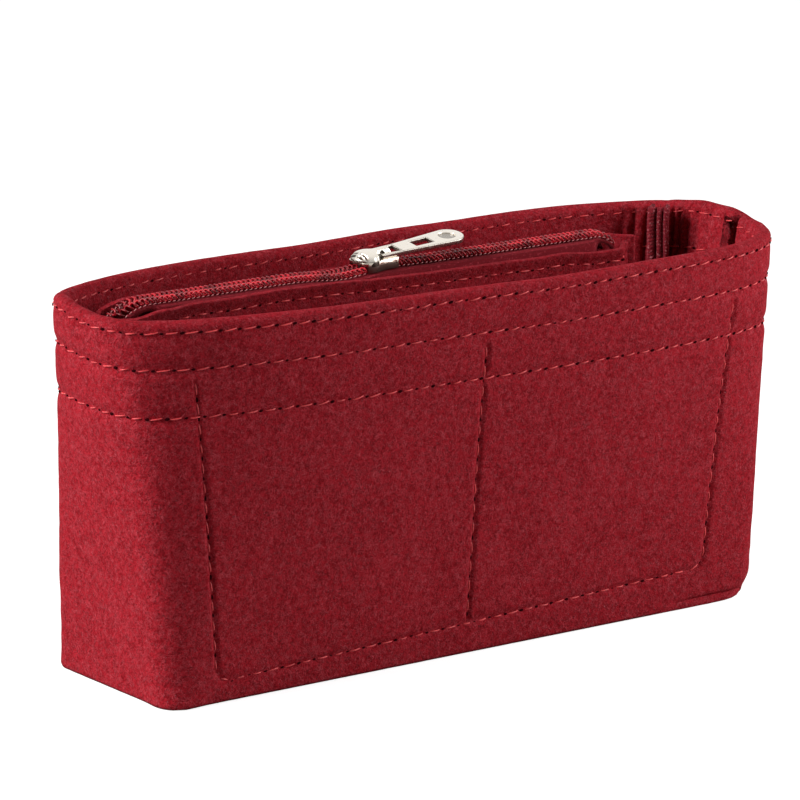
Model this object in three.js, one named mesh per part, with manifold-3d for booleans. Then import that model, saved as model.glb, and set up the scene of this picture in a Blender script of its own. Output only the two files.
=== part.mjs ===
// Felt organizer insert for a purse: an open felt box with two rows of inner pockets, a free standing
// zip pouch down its middle, and an auto-lock slider with a pull tab on a nylon coil zip.
// Millimetres. +X runs along the length, the front wall faces -Y, +Z is up. The origin is the centre
// of the underside.

import * as THREE from 'three';
import { mergeVertices } from 'three/addons/utils/BufferGeometryUtils.js';
import Module from 'manifold-3d';

const wasm = await Module();
wasm.setup();

// Felt body
const baseLength = 196;
const baseDepth = 54;
const baseCornerRadius = 8;
const rimLength = 218;
const rimDepth = 71;
const bodyHeight = 100;
const wallFelt = 2.4;
const liningFelt = 2;
const sewnGap = 0.3;
const rimSquarenessShare = 3.1;
const flareShare = 1.35;
const rimTaperShare = 0.1;

// Hem folded in at the rim, with its three rows of stitching measured down from the rim
const firstRowDrop = 2.8;
const secondRowDrop = 12.4;
const thirdRowDrop = 24.8;
const hemDepth = 28.5;
const stitchPull = 0.6;
const edgeRounding = 0.6;

// Inner pockets: one lining panel on the front wall and one on the back wall, two pockets each
const pocketMouthHeight = 85.5;
const pocketFloorHeight = 4;
const pocketHalfWidth = 84;
const pocketSeamHalfWidth = 80;
const pocketGapeWidth = 7.5;
const frontPocketShift = -3;

// Closing seam of the wall strip at the back right corner, bound with ribbed tape
const seamAllowance = 6;
const seamThickness = 3;
const bindingThickness = 0.5;
const bindingDepth = 4;
const bindingClearance = 0.2;
const seamTopDrop = 1.2;
const seamGroove = 0.7;

// Zip pouch
const pouchCentreY = 3;
const pouchLeftReach = 91;
const pouchLeftFlare = 10.5;
const pouchRightReach = 76;
const pouchTopLeftHeight = 98.8;
const pouchTopRightHeight = 97.2;
const pouchEndRun = 8;
const pouchBellyWidth = 1.2;
const pouchFootHalfGap = 0.2;

// Zip chain: coil rows on woven tapes, with both ends turned down into the pouch
const tapeTopHeight = 98.7;
const tapeThickness = 0.6;
const tapeInnerEdge = 1.9;
const tapeOuterEdge = 5.8;
const tapeEndEdge = 3.7;
const tapeFlap = 14;
const tapeFlapRun = 4;
const tapeToFelt = 0.3;
const coilHeight = 1.9;
const coilSeat = 0.1;
const coilOuterEdge = 2.6;
const coilRootEdge = 0.8;
const toothTipEdge = -0.3;
const toothPitch = 1.5;
const toothTipWidth = 0.56;
const toothRootWidth = 0.9;
const chainLeftReach = 86;
const chainRightReach = 60;
const leftCurlRadius = 13;
const leftCurlDegrees = 45;
const rightCurlRadius = 7;
const rightCurlDegrees = 68;
const rowPartingWidth = 1;
const openPartingWidth = 0.5;
const partingRun = 26;

// Slider, measured from its own centre on the tape's top face; its nose points to -X
const sliderRestX = -13;
const sliderLength = 11.5;
const sliderNoseHalfWidth = 4.3;
const sliderTailHalfWidth = 3.3;
const sliderFlange = 0.5;
const plateThickness = 0.8;
const runningClearance = 0.2;
const postHalfWidth = 0.5;
const postLength = 4.2;
const postNoseInset = 0.8;

// Cap over the top plate, with a tunnel for the pull tab's bar
const capLength = 10.6;
const capNoseInset = 0.4;
const capHalfWidth = 3.4;
const capNeckHalfWidth = 1.2;
const capHeight = 2.6;
const capSeat = 0.1;
const barOffset = 2;
const barRise = 1;
const barRadius = 0.65;
const tunnelRadius = 0.85;

// Spring pawl that locks the slider
const pawlWidth = 0.6;
const pawlLength = 4;
const pawlThickness = 0.45;
const pawlProng = 0.8;
const pawlOffset = 0.7;
const pawlClearance = 0.25;
const pawlTravel = 0.5;

// Pull tab, measured from the middle of its bar
const pullLength = 26.6;
const pullRootHalfWidth = 2.8;
const pullTipHalfWidth = 4.2;
const pullThickness = 1.3;
const pullHeel = 0.7;
const windowStart = 0.4;
const windowLength = 5.2;
const windowRootHalfWidth = 1.6;
const windowEndHalfWidth = 2.2;
const slotStart = 11;
const slotLength = 5.2;
const slotHalfWidth = 1.5;
const dimpleRadius = 2.4;
const dimpleDepth = 0.3;
const dimpleFromTip = 4.6;
const pullRestDegrees = 6;

// Cutters reach this far past the faces they cut, and closer corners than this count as one
const overrun = 1;
const weldDistance = 0.0001;

// Heights and places that follow from the sizes above
const wallFoot = wallFelt + sewnGap;
const hemFoot = bodyHeight - hemDepth;
const chainFloor = coilSeat + coilHeight;
const plateUnderside = chainFloor + runningClearance;
const plateTop = plateUnderside + plateThickness;
const bottomPlateTop = -tapeThickness - runningClearance;
const bottomPlateFoot = bottomPlateTop - plateThickness;
const panelInnerEdge = tapeOuterEdge + tapeToFelt;

// Plan outlines of the felt body, one quarter each, from the end's middle to the side's middle
const quarterSteps = 240;

function roundedQuarter(halfLength, halfDepth, radius) {
  const arcSteps = 16;
  const points = [new THREE.Vector2(halfLength, 0)];
  for (let step = 0; step <= arcSteps; step += 1) {
    const angle = (step / arcSteps) * (Math.PI / 2);
    points.push(new THREE.Vector2(
      halfLength - radius + radius * Math.cos(angle),
      halfDepth - radius + radius * Math.sin(angle),
    ));
  }
  points.push(new THREE.Vector2(0, halfDepth));
  return points;
}

function ovalQuarter(halfLength, halfDepth, squareness) {
  const points = [];
  for (let step = 0; step <= quarterSteps; step += 1) {
    const angle = (step / quarterSteps) * (Math.PI / 2);
    points.push(new THREE.Vector2(
      halfLength * Math.cos(angle) ** (2 / squareness),
      halfDepth * Math.sin(angle) ** (2 / squareness),
    ));
  }
  return points;
}

// Splits a quarter at the point where it heads at 45 degrees, and measures both arcs. Of two spans
// that lean alike, the first counts
const tieShare = 0.000001;

function measureQuarter(points) {
  const lengths = [0];
  let corner = 0;
  let flattest = Infinity;
  for (let index = 1; index < points.length; index += 1) {
    const run = points[index].clone().sub(points[index - 1]);
    lengths.push(lengths[index - 1] + run.length());
    const lean = Math.abs(Math.abs(run.x) - Math.abs(run.y)) / run.length();
    if (lean < flattest - tieShare) {
      flattest = lean;
      corner = (lengths[index] + lengths[index - 1]) / 2;
    }
  }
  return { points, lengths, corner, total: lengths[lengths.length - 1] };
}

// Place on a quarter: 0 is the end's middle, 1 the corner, 2 the side's middle
function alongQuarter(quarter, place) {
  const past = Math.max(place - 1, 0);
  const length = Math.min(place, 1) * quarter.corner + past * (quarter.total - quarter.corner);
  let index = 1;
  while (index < quarter.points.length - 1 && quarter.lengths[index] < length) {
    index += 1;
  }
  const start = quarter.lengths[index - 1];
  const share = (length - start) / (quarter.lengths[index] - start);
  return quarter.points[index - 1].clone().lerp(quarter.points[index], share);
}

const baseQuarter = measureQuarter(roundedQuarter(baseLength / 2, baseDepth / 2, baseCornerRadius));
const rimQuarter = measureQuarter(ovalQuarter(rimLength / 2, rimDepth / 2, rimSquarenessShare));

// Turns run from 0 at the right end's middle, by 2 at the back's middle, 4 at the left end's middle
// and 6 at the front's middle, to 8
// The rim opens wider towards the right end
const backMiddle = 2;
const frontMiddle = 6;
const seamTurn = 1;

function outerPoint(turn, height) {
  const wrapped = ((turn % 8) + 8) % 8;
  const quadrant = Math.floor(wrapped / 2);
  const within = wrapped - quadrant * 2;
  const place = quadrant % 2 === 0 ? within : 2 - within;
  const rise = Math.max(height / bodyHeight, 0) ** flareShare;
  const point = alongQuarter(baseQuarter, place).lerp(alongQuarter(rimQuarter, place), rise);
  const signX = quadrant === 0 || quadrant === 3 ? 1 : -1;
  const signY = quadrant < 2 ? 1 : -1;
  const widening = 1 + rimTaperShare * rise * (point.x * signX) / (rimLength / 2);
  return new THREE.Vector2(point.x * signX, point.y * signY * widening);
}

// A point of the wall: so far in from the outer face, and so far along it from the turn
function wallPoint(turn, height, inset, along = 0) {
  const probeShare = 0.02;
  const ahead = outerPoint(turn + probeShare, height);
  const tangent = ahead.sub(outerPoint(turn - probeShare, height)).normalize();
  const point = outerPoint(turn, height);
  return new THREE.Vector3(
    point.x - tangent.y * inset + tangent.x * along,
    point.y + tangent.x * inset + tangent.y * along,
    height,
  );
}

// Stations round the wall, closer together where the corners bend
const quarterShares = [0, 0.3, 0.55, 0.75, 0.88, 1, 1.03, 1.07, 1.13, 1.24, 1.4, 1.6, 1.8];

function wallStations() {
  const stations = [];
  for (let quadrant = 0; quadrant < 4; quadrant += 1) {
    const mirrored = quadrant % 2 === 1;
    const shares = mirrored ? quarterShares.map((share) => 2 - share).reverse() : quarterShares;
    for (const share of shares) {
      if (!mirrored || share > 0) {
        stations.push(quadrant * 2 + share);
      }
    }
    if (!mirrored) {
      stations.push(quadrant * 2 + 2);
    }
  }
  return [...new Set(stations)].filter((turn) => turn < 8).sort((one, other) => one - other);
}

// Skins a row of equal loops into one closed body, joined end to end or closed by flat ends
function skinLoops(loops, closed) {
  const size = loops[0].length;
  const positions = loops.flat().flatMap((point) => [point.x, point.y, point.z]);
  const faces = [];
  const spans = closed ? loops.length : loops.length - 1;
  for (let span = 0; span < spans; span += 1) {
    const here = span * size;
    const next = ((span + 1) % loops.length) * size;
    for (let step = 0; step < size; step += 1) {
      const after = (step + 1) % size;
      faces.push(here + step, next + step, next + after);
      faces.push(here + step, next + after, here + after);
    }
  }
  if (!closed) {
    faces.push(...endFaces(loops[0], 0, false));
    faces.push(...endFaces(loops[loops.length - 1], (loops.length - 1) * size, true));
  }
  const geometry = new THREE.BufferGeometry();
  geometry.setAttribute('position', new THREE.Float32BufferAttribute(positions, 3));
  geometry.setIndex(faces);
  return facedOut(geometry);
}

// Fills a flat loop, laid out on its own plane
function endFaces(loop, first, flipped) {
  const normal = new THREE.Vector3();
  for (let step = 0; step < loop.length; step += 1) {
    const along = loop[step].clone().sub(loop[0]);
    normal.add(along.cross(loop[(step + 1) % loop.length].clone().sub(loop[0])));
  }
  const turn = new THREE.Quaternion().setFromUnitVectors(normal.normalize(), new THREE.Vector3(0, 0, 1));
  const flat = loop.map((point) => {
    const turned = point.clone().applyQuaternion(turn);
    return new THREE.Vector2(turned.x, turned.y);
  });
  const triangles = THREE.ShapeUtils.triangulateShape(flat, []);
  const areas = triangles.map((corners) => THREE.ShapeUtils.area(corners.map((corner) => flat[corner])));
  const ordered = areas.reduce((total, area) => total + area, 0) > 0;
  return triangles.flatMap((corners) => {
    const [one, two, three] = corners.map((corner) => first + corner);
    return ordered === flipped ? [one, three, two] : [one, two, three];
  });
}

function volumeOf(geometry) {
  const place = geometry.getAttribute('position');
  const index = geometry.getIndex();
  const corners = [new THREE.Vector3(), new THREE.Vector3(), new THREE.Vector3()];
  let volume = 0;
  for (let face = 0; face < index.count; face += 3) {
    corners.forEach((corner, offset) => corner.fromBufferAttribute(place, index.getX(face + offset)));
    volume += corners[0].dot(corners[1].cross(corners[2])) / 6;
  }
  return volume;
}

function facedOut(geometry) {
  if (volumeOf(geometry) < 0) {
    const index = geometry.getIndex();
    for (let face = 0; face < index.count; face += 3) {
      const second = index.getX(face + 1);
      index.setX(face + 1, index.getX(face + 2));
      index.setX(face + 2, second);
    }
  }
  return geometry;
}

// Joining and cutting of closed bodies
function toSolid(geometry) {
  const bare = geometry.clone();
  bare.deleteAttribute('normal');
  bare.deleteAttribute('uv');
  const merged = mergeVertices(bare, weldDistance);
  return new wasm.Manifold(new wasm.Mesh({
    numProp: 3,
    vertProperties: new Float32Array(merged.getAttribute('position').array),
    triVerts: new Uint32Array(merged.getIndex().array),
  }));
}

function toGeometry(solid) {
  const mesh = solid.getMesh();
  const geometry = new THREE.BufferGeometry();
  geometry.setAttribute('position', new THREE.BufferAttribute(new Float32Array(mesh.vertProperties), 3));
  geometry.setIndex(new THREE.BufferAttribute(new Uint32Array(mesh.triVerts), 1));
  return geometry;
}

function extruded(shape, bottom, top, curveSegments = 8) {
  const geometry = new THREE.ExtrudeGeometry(shape, {
    depth: top - bottom,
    bevelEnabled: false,
    curveSegments,
  });
  geometry.translate(0, 0, bottom);
  return geometry;
}

function block(sizeX, sizeY, sizeZ, centreX, centreY, centreZ) {
  return new THREE.BoxGeometry(sizeX, sizeY, sizeZ).translate(centreX, centreY, centreZ);
}

function smooth(share) {
  const held = Math.min(Math.max(share, 0), 1);
  return held * held * (3 - 2 * held);
}

// The wall strip: one length of felt round the box, its top folded in as a hem
function wallSection() {
  const rise = bodyHeight - wallFelt;
  const between = (upper, lower) => bodyHeight - (upper + lower) / 2;
  const outer = [
    [edgeRounding, wallFoot],
    [0, wallFoot + edgeRounding],
    [0, bodyHeight / 4],
    [0, bodyHeight / 2],
    [0, hemFoot],
    [stitchPull, bodyHeight - thirdRowDrop],
    [0, between(thirdRowDrop, secondRowDrop)],
    [stitchPull, bodyHeight - secondRowDrop],
    [0, between(secondRowDrop, firstRowDrop)],
    [stitchPull / 2, bodyHeight - firstRowDrop],
  ];
  const fold = [];
  const foldSteps = 5;
  for (let step = 1; step < foldSteps; step += 1) {
    const angle = Math.PI * (1 - step / foldSteps);
    fold.push([wallFelt + wallFelt * Math.cos(angle), rise + wallFelt * Math.sin(angle)]);
  }
  const inner = [
    [2 * wallFelt - stitchPull / 2, bodyHeight - firstRowDrop],
    [2 * wallFelt, between(secondRowDrop, firstRowDrop)],
    [2 * wallFelt - stitchPull, bodyHeight - secondRowDrop],
    [2 * wallFelt, between(thirdRowDrop, secondRowDrop)],
    [2 * wallFelt - stitchPull, bodyHeight - thirdRowDrop],
    [2 * wallFelt, hemFoot],
    [wallFelt, hemFoot],
    [wallFelt, bodyHeight / 2],
    [wallFelt, bodyHeight / 4],
    [wallFelt, wallFoot],
  ];
  return [...outer, ...fold, ...inner];
}

const seamLevelShares = [0, 0.12, 0.3, 0.5, 0.7, 0.85, 1];

// Sweeps a section of [along, inset] points up the wall at the closing seam
function upTheSeam(section, bottom, top) {
  const loops = seamLevelShares.map((share) => {
    const height = bottom + (top - bottom) * share;
    return section.map(([along, inset]) => wallPoint(seamTurn, height, inset, along));
  });
  return skinLoops(loops, false);
}

function wallStrip() {
  const section = wallSection();
  const loops = wallStations().map((turn) => (
    section.map(([inset, height]) => wallPoint(turn, height, inset))
  ));
  const strip = toSolid(skinLoops(loops, true));
  const half = seamThickness / 2;
  const ribEnd = 2 * wallFelt + seamAllowance;
  const rib = upTheSeam(
    [[-half, wallFelt / 2], [half, wallFelt / 2], [half, ribEnd], [-half, ribEnd]],
    wallFoot,
    bodyHeight - seamTopDrop,
  );
  const groove = upTheSeam(
    [[-seamGroove, -overrun], [seamGroove, -overrun], [0, seamGroove]],
    wallFoot - overrun,
    bodyHeight - wallFelt,
  );
  return toGeometry(strip.add(toSolid(rib)).subtract(toSolid(groove)));
}

// Ribbed tape folded over the two raw edges of the closing seam
function seamBinding() {
  const inside = seamThickness / 2 + bindingClearance;
  const outside = inside + bindingThickness;
  const start = 2 * wallFelt + seamAllowance - bindingDepth;
  const innerEnd = 2 * wallFelt + seamAllowance + bindingClearance;
  const outerEnd = innerEnd + bindingThickness;
  const section = [
    [-outside, start],
    [-inside, start],
    [-inside, innerEnd],
    [inside, innerEnd],
    [inside, start],
    [outside, start],
    [outside, innerEnd],
    [inside / 2, outerEnd],
    [0, innerEnd + bindingThickness / 2],
    [-inside / 2, outerEnd],
    [-outside, innerEnd],
  ];
  return upTheSeam(section, wallFoot, bodyHeight - seamTopDrop);
}

function baseOutline(shrink) {
  const halfLength = baseLength / 2 - shrink;
  const halfDepth = baseDepth / 2 - shrink;
  const radius = baseCornerRadius - shrink;
  const shape = new THREE.Shape();
  shape.moveTo(-halfLength + radius, -halfDepth);
  shape.lineTo(halfLength - radius, -halfDepth);
  shape.absarc(halfLength - radius, -halfDepth + radius, radius, -Math.PI / 2, 0);
  shape.lineTo(halfLength, halfDepth - radius);
  shape.absarc(halfLength - radius, halfDepth - radius, radius, 0, Math.PI / 2);
  shape.lineTo(-halfLength + radius, halfDepth);
  shape.absarc(-halfLength + radius, halfDepth - radius, radius, Math.PI / 2, Math.PI);
  shape.lineTo(-halfLength, -halfDepth + radius);
  shape.absarc(-halfLength + radius, -halfDepth + radius, radius, Math.PI, Math.PI * 1.5);
  return shape;
}

// The base panel, with its cut edges worn round
function basePanel() {
  const geometry = new THREE.ExtrudeGeometry(baseOutline(edgeRounding), {
    depth: wallFelt - 2 * edgeRounding,
    bevelEnabled: true,
    bevelThickness: edgeRounding,
    bevelSize: edgeRounding,
    bevelSegments: 2,
    curveSegments: 6,
  });
  return geometry.translate(0, 0, edgeRounding);
}

// A pocket panel lies on the wall, steps in over the hem, and gapes at the mouth of each pocket
const pocketLevelShares = [0, 0.2, 0.4, 0.6, 0.74, 0.83, 0.92, 1];
const pocketStationCount = 24;

function pocketInset(offset, height) {
  const fromSeam = Math.abs(offset) / pocketSeamHalfWidth;
  const gape = fromSeam < 1 ? Math.sin(Math.PI * fromSeam) ** 2 : 0;
  const mouthRun = pocketMouthHeight - pocketFloorHeight;
  const opening = smooth((height - pocketFloorHeight) / mouthRun);
  const hemStep = wallFelt * smooth((height - hemFoot + hemDepth / 2) / (hemDepth / 2));
  return wallFelt + sewnGap + hemStep + pocketGapeWidth * gape * opening;
}

function pocketPanel(middleTurn, shift) {
  const sideArc = baseQuarter.total - baseQuarter.corner;
  const mouthRun = pocketMouthHeight - pocketFloorHeight;
  const loops = [];
  for (let station = 0; station <= pocketStationCount; station += 1) {
    const offset = pocketHalfWidth * ((2 * station) / pocketStationCount - 1);
    const turn = middleTurn + (offset + shift) / sideArc;
    const heights = pocketLevelShares.map((share) => pocketFloorHeight + mouthRun * share);
    const outer = heights.map((height) => wallPoint(turn, height, pocketInset(offset, height)));
    const inner = heights.map((height) => (
      wallPoint(turn, height, pocketInset(offset, height) + liningFelt)
    ));
    loops.push([...outer, ...inner.reverse()]);
  }
  return skinLoops(loops, false);
}

// The pouch's two panels: together along the foot and both ends, apart under the zip
const pouchLevelShares = [0, 0.08, 0.25, 0.5, 0.75, 0.9, 1];
const pouchSpreadShares = [0, 0.35, 0.85, 1, 1, 1, 1];
const pouchBellyShares = [0, 0, 0.6, 1, 0.5, 0, 0];
const pouchStationShares = [
  0, 0.02, 0.045, 0.07, 0.14, 0.25, 0.4, 0.55, 0.7, 0.8, 0.88, 0.93, 0.955, 0.98, 1,
];

function pouchPanel(side) {
  const loops = pouchStationShares.map((along) => {
    const inner = [];
    const outer = [];
    pouchLevelShares.forEach((level, index) => {
      const top = THREE.MathUtils.lerp(pouchTopLeftHeight, pouchTopRightHeight, along);
      const height = wallFoot + (top - wallFoot) * level;
      const left = -pouchLeftReach - pouchLeftFlare * (height / bodyHeight) ** flareShare;
      const x = THREE.MathUtils.lerp(left, pouchRightReach, along);
      const fromEnd = Math.min(x - left, pouchRightReach - x);
      const spread = smooth(fromEnd / pouchEndRun);
      const full = panelInnerEdge * pouchSpreadShares[index] + pouchBellyWidth * pouchBellyShares[index];
      const lateral = pouchFootHalfGap + full * spread;
      inner.push(new THREE.Vector3(x, pouchCentreY + side * lateral, height));
      outer.push(new THREE.Vector3(x, pouchCentreY + side * (lateral + liningFelt), height));
    });
    return [...inner, ...outer.reverse()];
  });
  return skinLoops(loops, false);
}

// The zip's path: straight, with both ends curling down. Places are [length along it, rise off it]
const leftCurl = leftCurlRadius * THREE.MathUtils.degToRad(leftCurlDegrees);
const rightCurl = rightCurlRadius * THREE.MathUtils.degToRad(rightCurlDegrees);
const straightRun = chainLeftReach + chainRightReach;
const chainRun = leftCurl + straightRun + rightCurl;

function chainPoint(length, lateral, rise, side) {
  const past = length - leftCurl - straightRun;
  let x = -chainLeftReach + length - leftCurl;
  let z = tapeTopHeight + rise;
  if (length < leftCurl) {
    const angle = (leftCurl - length) / leftCurlRadius;
    x = -chainLeftReach - (leftCurlRadius + rise) * Math.sin(angle);
    z = tapeTopHeight - leftCurlRadius + (leftCurlRadius + rise) * Math.cos(angle);
  } else if (past > 0) {
    const angle = past / rightCurlRadius;
    x = chainRightReach + (rightCurlRadius + rise) * Math.sin(angle);
    z = tapeTopHeight - rightCurlRadius + (rightCurlRadius + rise) * Math.cos(angle);
  }
  return new THREE.Vector3(x, pouchCentreY + side * lateral, z);
}

// Woven tape: flat under the coil, then hanging down inside the pouch panel
function zipTape(side) {
  const stationCount = 44;
  const loops = [];
  for (let station = 0; station <= stationCount; station += 1) {
    const length = (chainRun * station) / stationCount;
    const fromEnd = Math.min(length - leftCurl, leftCurl + straightRun - length);
    const full = smooth(fromEnd / tapeFlapRun);
    const edge = THREE.MathUtils.lerp(tapeEndEdge, tapeOuterEdge, full);
    const flap = THREE.MathUtils.lerp(2 * tapeThickness, tapeFlap, full);
    loops.push([
      [tapeInnerEdge, 0],
      [edge, 0],
      [edge, -flap],
      [edge - tapeThickness, -flap],
      [edge - tapeThickness, -tapeThickness],
      [tapeInnerEdge, -tapeThickness],
    ].map(([lateral, rise]) => chainPoint(length, lateral, rise, side)));
  }
  return skinLoops(loops, false);
}

// How far a row stands off the zip's middle: meshed behind the slider, parted round its post
function parting(length) {
  const x = length - leftCurl - chainLeftReach;
  const postStart = sliderRestX - sliderLength / 2 + postNoseInset;
  const postEnd = postStart + postLength;
  const beforePost = postStart - x;
  if (x > postStart) {
    return rowPartingWidth * (1 - smooth((x - postEnd + postLength / 2) / (postLength / 2 + toothPitch)));
  }
  return openPartingWidth + (rowPartingWidth - openPartingWidth) * (1 - smooth(beforePost / partingRun));
}

// One coil row: a tooth at every pitch, the two rows set half a pitch apart so that they mesh
function coilRow(side) {
  const phase = side > 0 ? 0 : toothPitch / 2;
  const toothCount = Math.floor((chainRun - phase) / toothPitch);
  const loops = [];
  const addLoop = (length, inner) => {
    const off = parting(length);
    loops.push([
      [inner + off, coilSeat],
      [inner + off, coilSeat + coilHeight],
      [coilOuterEdge + off, coilSeat + coilHeight],
      [coilOuterEdge + off, coilSeat],
    ].map(([lateral, rise]) => chainPoint(length, lateral, rise, side)));
  };
  for (let tooth = 0; tooth < toothCount; tooth += 1) {
    const middle = phase + (tooth + 0.5) * toothPitch;
    addLoop(middle - toothRootWidth / 2, coilRootEdge);
    addLoop(middle - toothTipWidth / 2, toothTipEdge);
    addLoop(middle + toothTipWidth / 2, toothTipEdge);
    addLoop(middle + toothRootWidth / 2, coilRootEdge);
  }
  return skinLoops(loops, false);
}

// Outline of the slider's plates: rounded shoulders at the nose, narrower at the tail
function plateOutline(shrink, reach) {
  const nose = -sliderLength / 2 - reach;
  const tail = sliderLength / 2 + reach;
  const wide = sliderNoseHalfWidth - shrink;
  const narrow = sliderTailHalfWidth - shrink;
  const shape = new THREE.Shape();
  shape.moveTo(tail, -narrow);
  shape.lineTo(tail, narrow);
  shape.lineTo(sliderLength / 6, narrow);
  shape.bezierCurveTo(0, narrow, -sliderLength / 12, wide, -sliderLength / 5, wide);
  if (reach > 0) {
    shape.lineTo(nose, wide);
    shape.lineTo(nose, -wide);
    shape.lineTo(-sliderLength / 5, -wide);
  } else {
    shape.quadraticCurveTo(nose, wide, nose, wide / 2);
    shape.quadraticCurveTo(nose, 0, nose + postNoseInset / 2, 0);
    shape.quadraticCurveTo(nose, 0, nose, -wide / 2);
    shape.quadraticCurveTo(nose, -wide, -sliderLength / 5, -wide);
  }
  shape.bezierCurveTo(-sliderLength / 12, -wide, 0, -narrow, sliderLength / 6, -narrow);
  shape.closePath();
  return shape;
}

function postOutline() {
  const nose = -sliderLength / 2 + postNoseInset;
  const shape = new THREE.Shape();
  shape.moveTo(nose, 0);
  shape.quadraticCurveTo(nose, postHalfWidth, nose + postLength / 4, postHalfWidth);
  shape.lineTo(nose + postLength / 2, postHalfWidth);
  shape.lineTo(nose + postLength, 0);
  shape.lineTo(nose + postLength / 2, -postHalfWidth);
  shape.lineTo(nose + postLength / 4, -postHalfWidth);
  shape.quadraticCurveTo(nose, -postHalfWidth, nose, 0);
  return shape;
}

// Two plates on one post, with a Y shaped channel for the coil rows and side slots for the tapes
function sliderBody() {
  const plates = toSolid(extruded(plateOutline(0, 0), bottomPlateFoot, plateTop, 6));
  const inner = plateOutline(sliderFlange, overrun);
  const channel = toSolid(extruded(inner, bottomPlateTop, plateUnderside, 6));
  const slot = toSolid(block(
    sliderLength + 2 * overrun,
    2 * (sliderNoseHalfWidth + overrun),
    runningClearance - bottomPlateTop,
    0,
    0,
    (runningClearance + bottomPlateTop) / 2,
  ));
  const postFoot = bottomPlateTop - plateThickness / 2;
  const postHead = plateUnderside + plateThickness / 2;
  const post = toSolid(extruded(postOutline(), postFoot, postHead, 4));
  const pawlHole = toSolid(block(
    pawlProng + 2 * pawlClearance,
    pawlWidth + 2 * pawlClearance,
    plateThickness + 2 * overrun,
    pawlOffset,
    0,
    plateTop,
  ));
  return toGeometry(plates.subtract(channel.add(slot).subtract(post)).subtract(pawlHole));
}

// Domed cap, wide over the nose and narrow at the tail
const capStationShares = [0, 0.03, 0.1, 0.2, 0.34, 0.46, 0.56, 0.66, 0.86, 0.96, 1];
const capWidthShares = [0.3, 0.6, 0.88, 1, 1, 0.8, 0.55, 0, 0, 0, 0];
const capArchShare = 0.8;
const capHeightShares = [0.2, 0.45, 0.72, 0.88, 0.96, 1, 1, 1, 1, 0.8, 0.35];

function sliderCap() {
  const archSteps = 8;
  const start = -sliderLength / 2 + capNoseInset;
  const foot = plateTop + capSeat;
  const loops = capStationShares.map((along, index) => {
    const halfWidth = Math.max(capNeckHalfWidth, capHalfWidth * capWidthShares[index]);
    const shoulder = index === 0 ? halfWidth / 2 : halfWidth;
    const loop = [];
    for (let step = 0; step <= archSteps; step += 1) {
      const angle = (Math.PI * step) / archSteps;
      loop.push(new THREE.Vector3(
        start + capLength * along,
        shoulder * Math.cos(angle),
        foot + capHeight * capHeightShares[index] * Math.sin(angle) ** capArchShare,
      ));
    }
    return loop;
  });
  const dome = toSolid(skinLoops(loops, false));
  const tunnelLength = 2 * capHalfWidth + 2 * overrun;
  const tunnel = new THREE.CylinderGeometry(tunnelRadius, tunnelRadius, tunnelLength, 16)
    .translate(barOffset, 0, plateTop + barRise);
  const gateway = block(
    2 * tunnelRadius,
    tunnelLength,
    barRise + overrun,
    barOffset,
    0,
    plateTop + (barRise - overrun) / 2,
  );
  const pawlRoom = pawlThickness + pawlTravel + 2 * pawlClearance;
  const pocket = block(
    pawlLength + 2 * pawlClearance,
    pawlWidth + 2 * pawlClearance,
    pawlRoom + overrun,
    pawlMiddle(),
    0,
    plateTop + (pawlRoom - overrun) / 2,
  );
  return toGeometry(dome.subtract(toSolid(tunnel)).subtract(toSolid(gateway)).subtract(toSolid(pocket)));
}

function pawlMiddle() {
  return pawlOffset + pawlProng / 2 - pawlLength / 2;
}

// Leaf under the cap, with a prong that drops through the top plate onto the coil
function lockPawl() {
  const leafFoot = plateTop + pawlClearance;
  const leaf = block(pawlLength, pawlWidth, pawlThickness, pawlMiddle(), 0, leafFoot + pawlThickness / 2);
  const prongFoot = chainFloor + runningClearance / 2;
  const prongTop = leafFoot + pawlThickness / 2;
  const prongMiddle = (prongTop + prongFoot) / 2;
  const prong = block(pawlProng, pawlWidth, prongTop - prongFoot, pawlOffset, 0, prongMiddle);
  return toGeometry(toSolid(leaf).add(toSolid(prong)));
}

// Pull tab: straight legs from the bar, widening to a round end
function pullOutline() {
  const tipCentre = pullLength - pullTipHalfWidth;
  const shape = new THREE.Shape();
  shape.moveTo(-pullHeel, -pullRootHalfWidth);
  shape.lineTo(windowLength, -pullRootHalfWidth);
  shape.lineTo(tipCentre, -pullTipHalfWidth);
  shape.absarc(tipCentre, 0, pullTipHalfWidth, -Math.PI / 2, Math.PI / 2);
  shape.lineTo(windowLength, pullRootHalfWidth);
  shape.lineTo(-pullHeel, pullRootHalfWidth);
  shape.closePath();
  const trapezoid = new THREE.Path();
  trapezoid.moveTo(windowStart, -windowRootHalfWidth);
  trapezoid.lineTo(windowStart, windowRootHalfWidth);
  trapezoid.lineTo(windowStart + windowLength, windowEndHalfWidth);
  trapezoid.lineTo(windowStart + windowLength, -windowEndHalfWidth);
  trapezoid.closePath();
  const slot = new THREE.Path();
  slot.moveTo(slotStart, -slotHalfWidth);
  slot.lineTo(slotStart, slotHalfWidth);
  slot.lineTo(slotStart + slotLength, slotHalfWidth);
  slot.lineTo(slotStart + slotLength, -slotHalfWidth);
  slot.closePath();
  shape.holes.push(trapezoid, slot);
  return shape;
}

function pullTab() {
  const half = pullThickness / 2;
  const plate = toSolid(extruded(pullOutline(), -half, half, 10));
  const heelRoom = toSolid(block(
    2 * (pullHeel + windowStart),
    2 * windowRootHalfWidth,
    pullThickness + 2 * overrun,
    0,
    0,
    0,
  ));
  const bar = toSolid(new THREE.CylinderGeometry(
    barRadius,
    barRadius,
    2 * windowRootHalfWidth + pullHeel,
    12,
  ));
  const dimple = toSolid(new THREE.CylinderGeometry(dimpleRadius, dimpleRadius, 2 * dimpleDepth, 20)
    .rotateX(Math.PI / 2)
    .translate(pullLength - dimpleFromTip, 0, half));
  return toGeometry(plate.subtract(heelRoom).add(bar).subtract(dimple));
}

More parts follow.
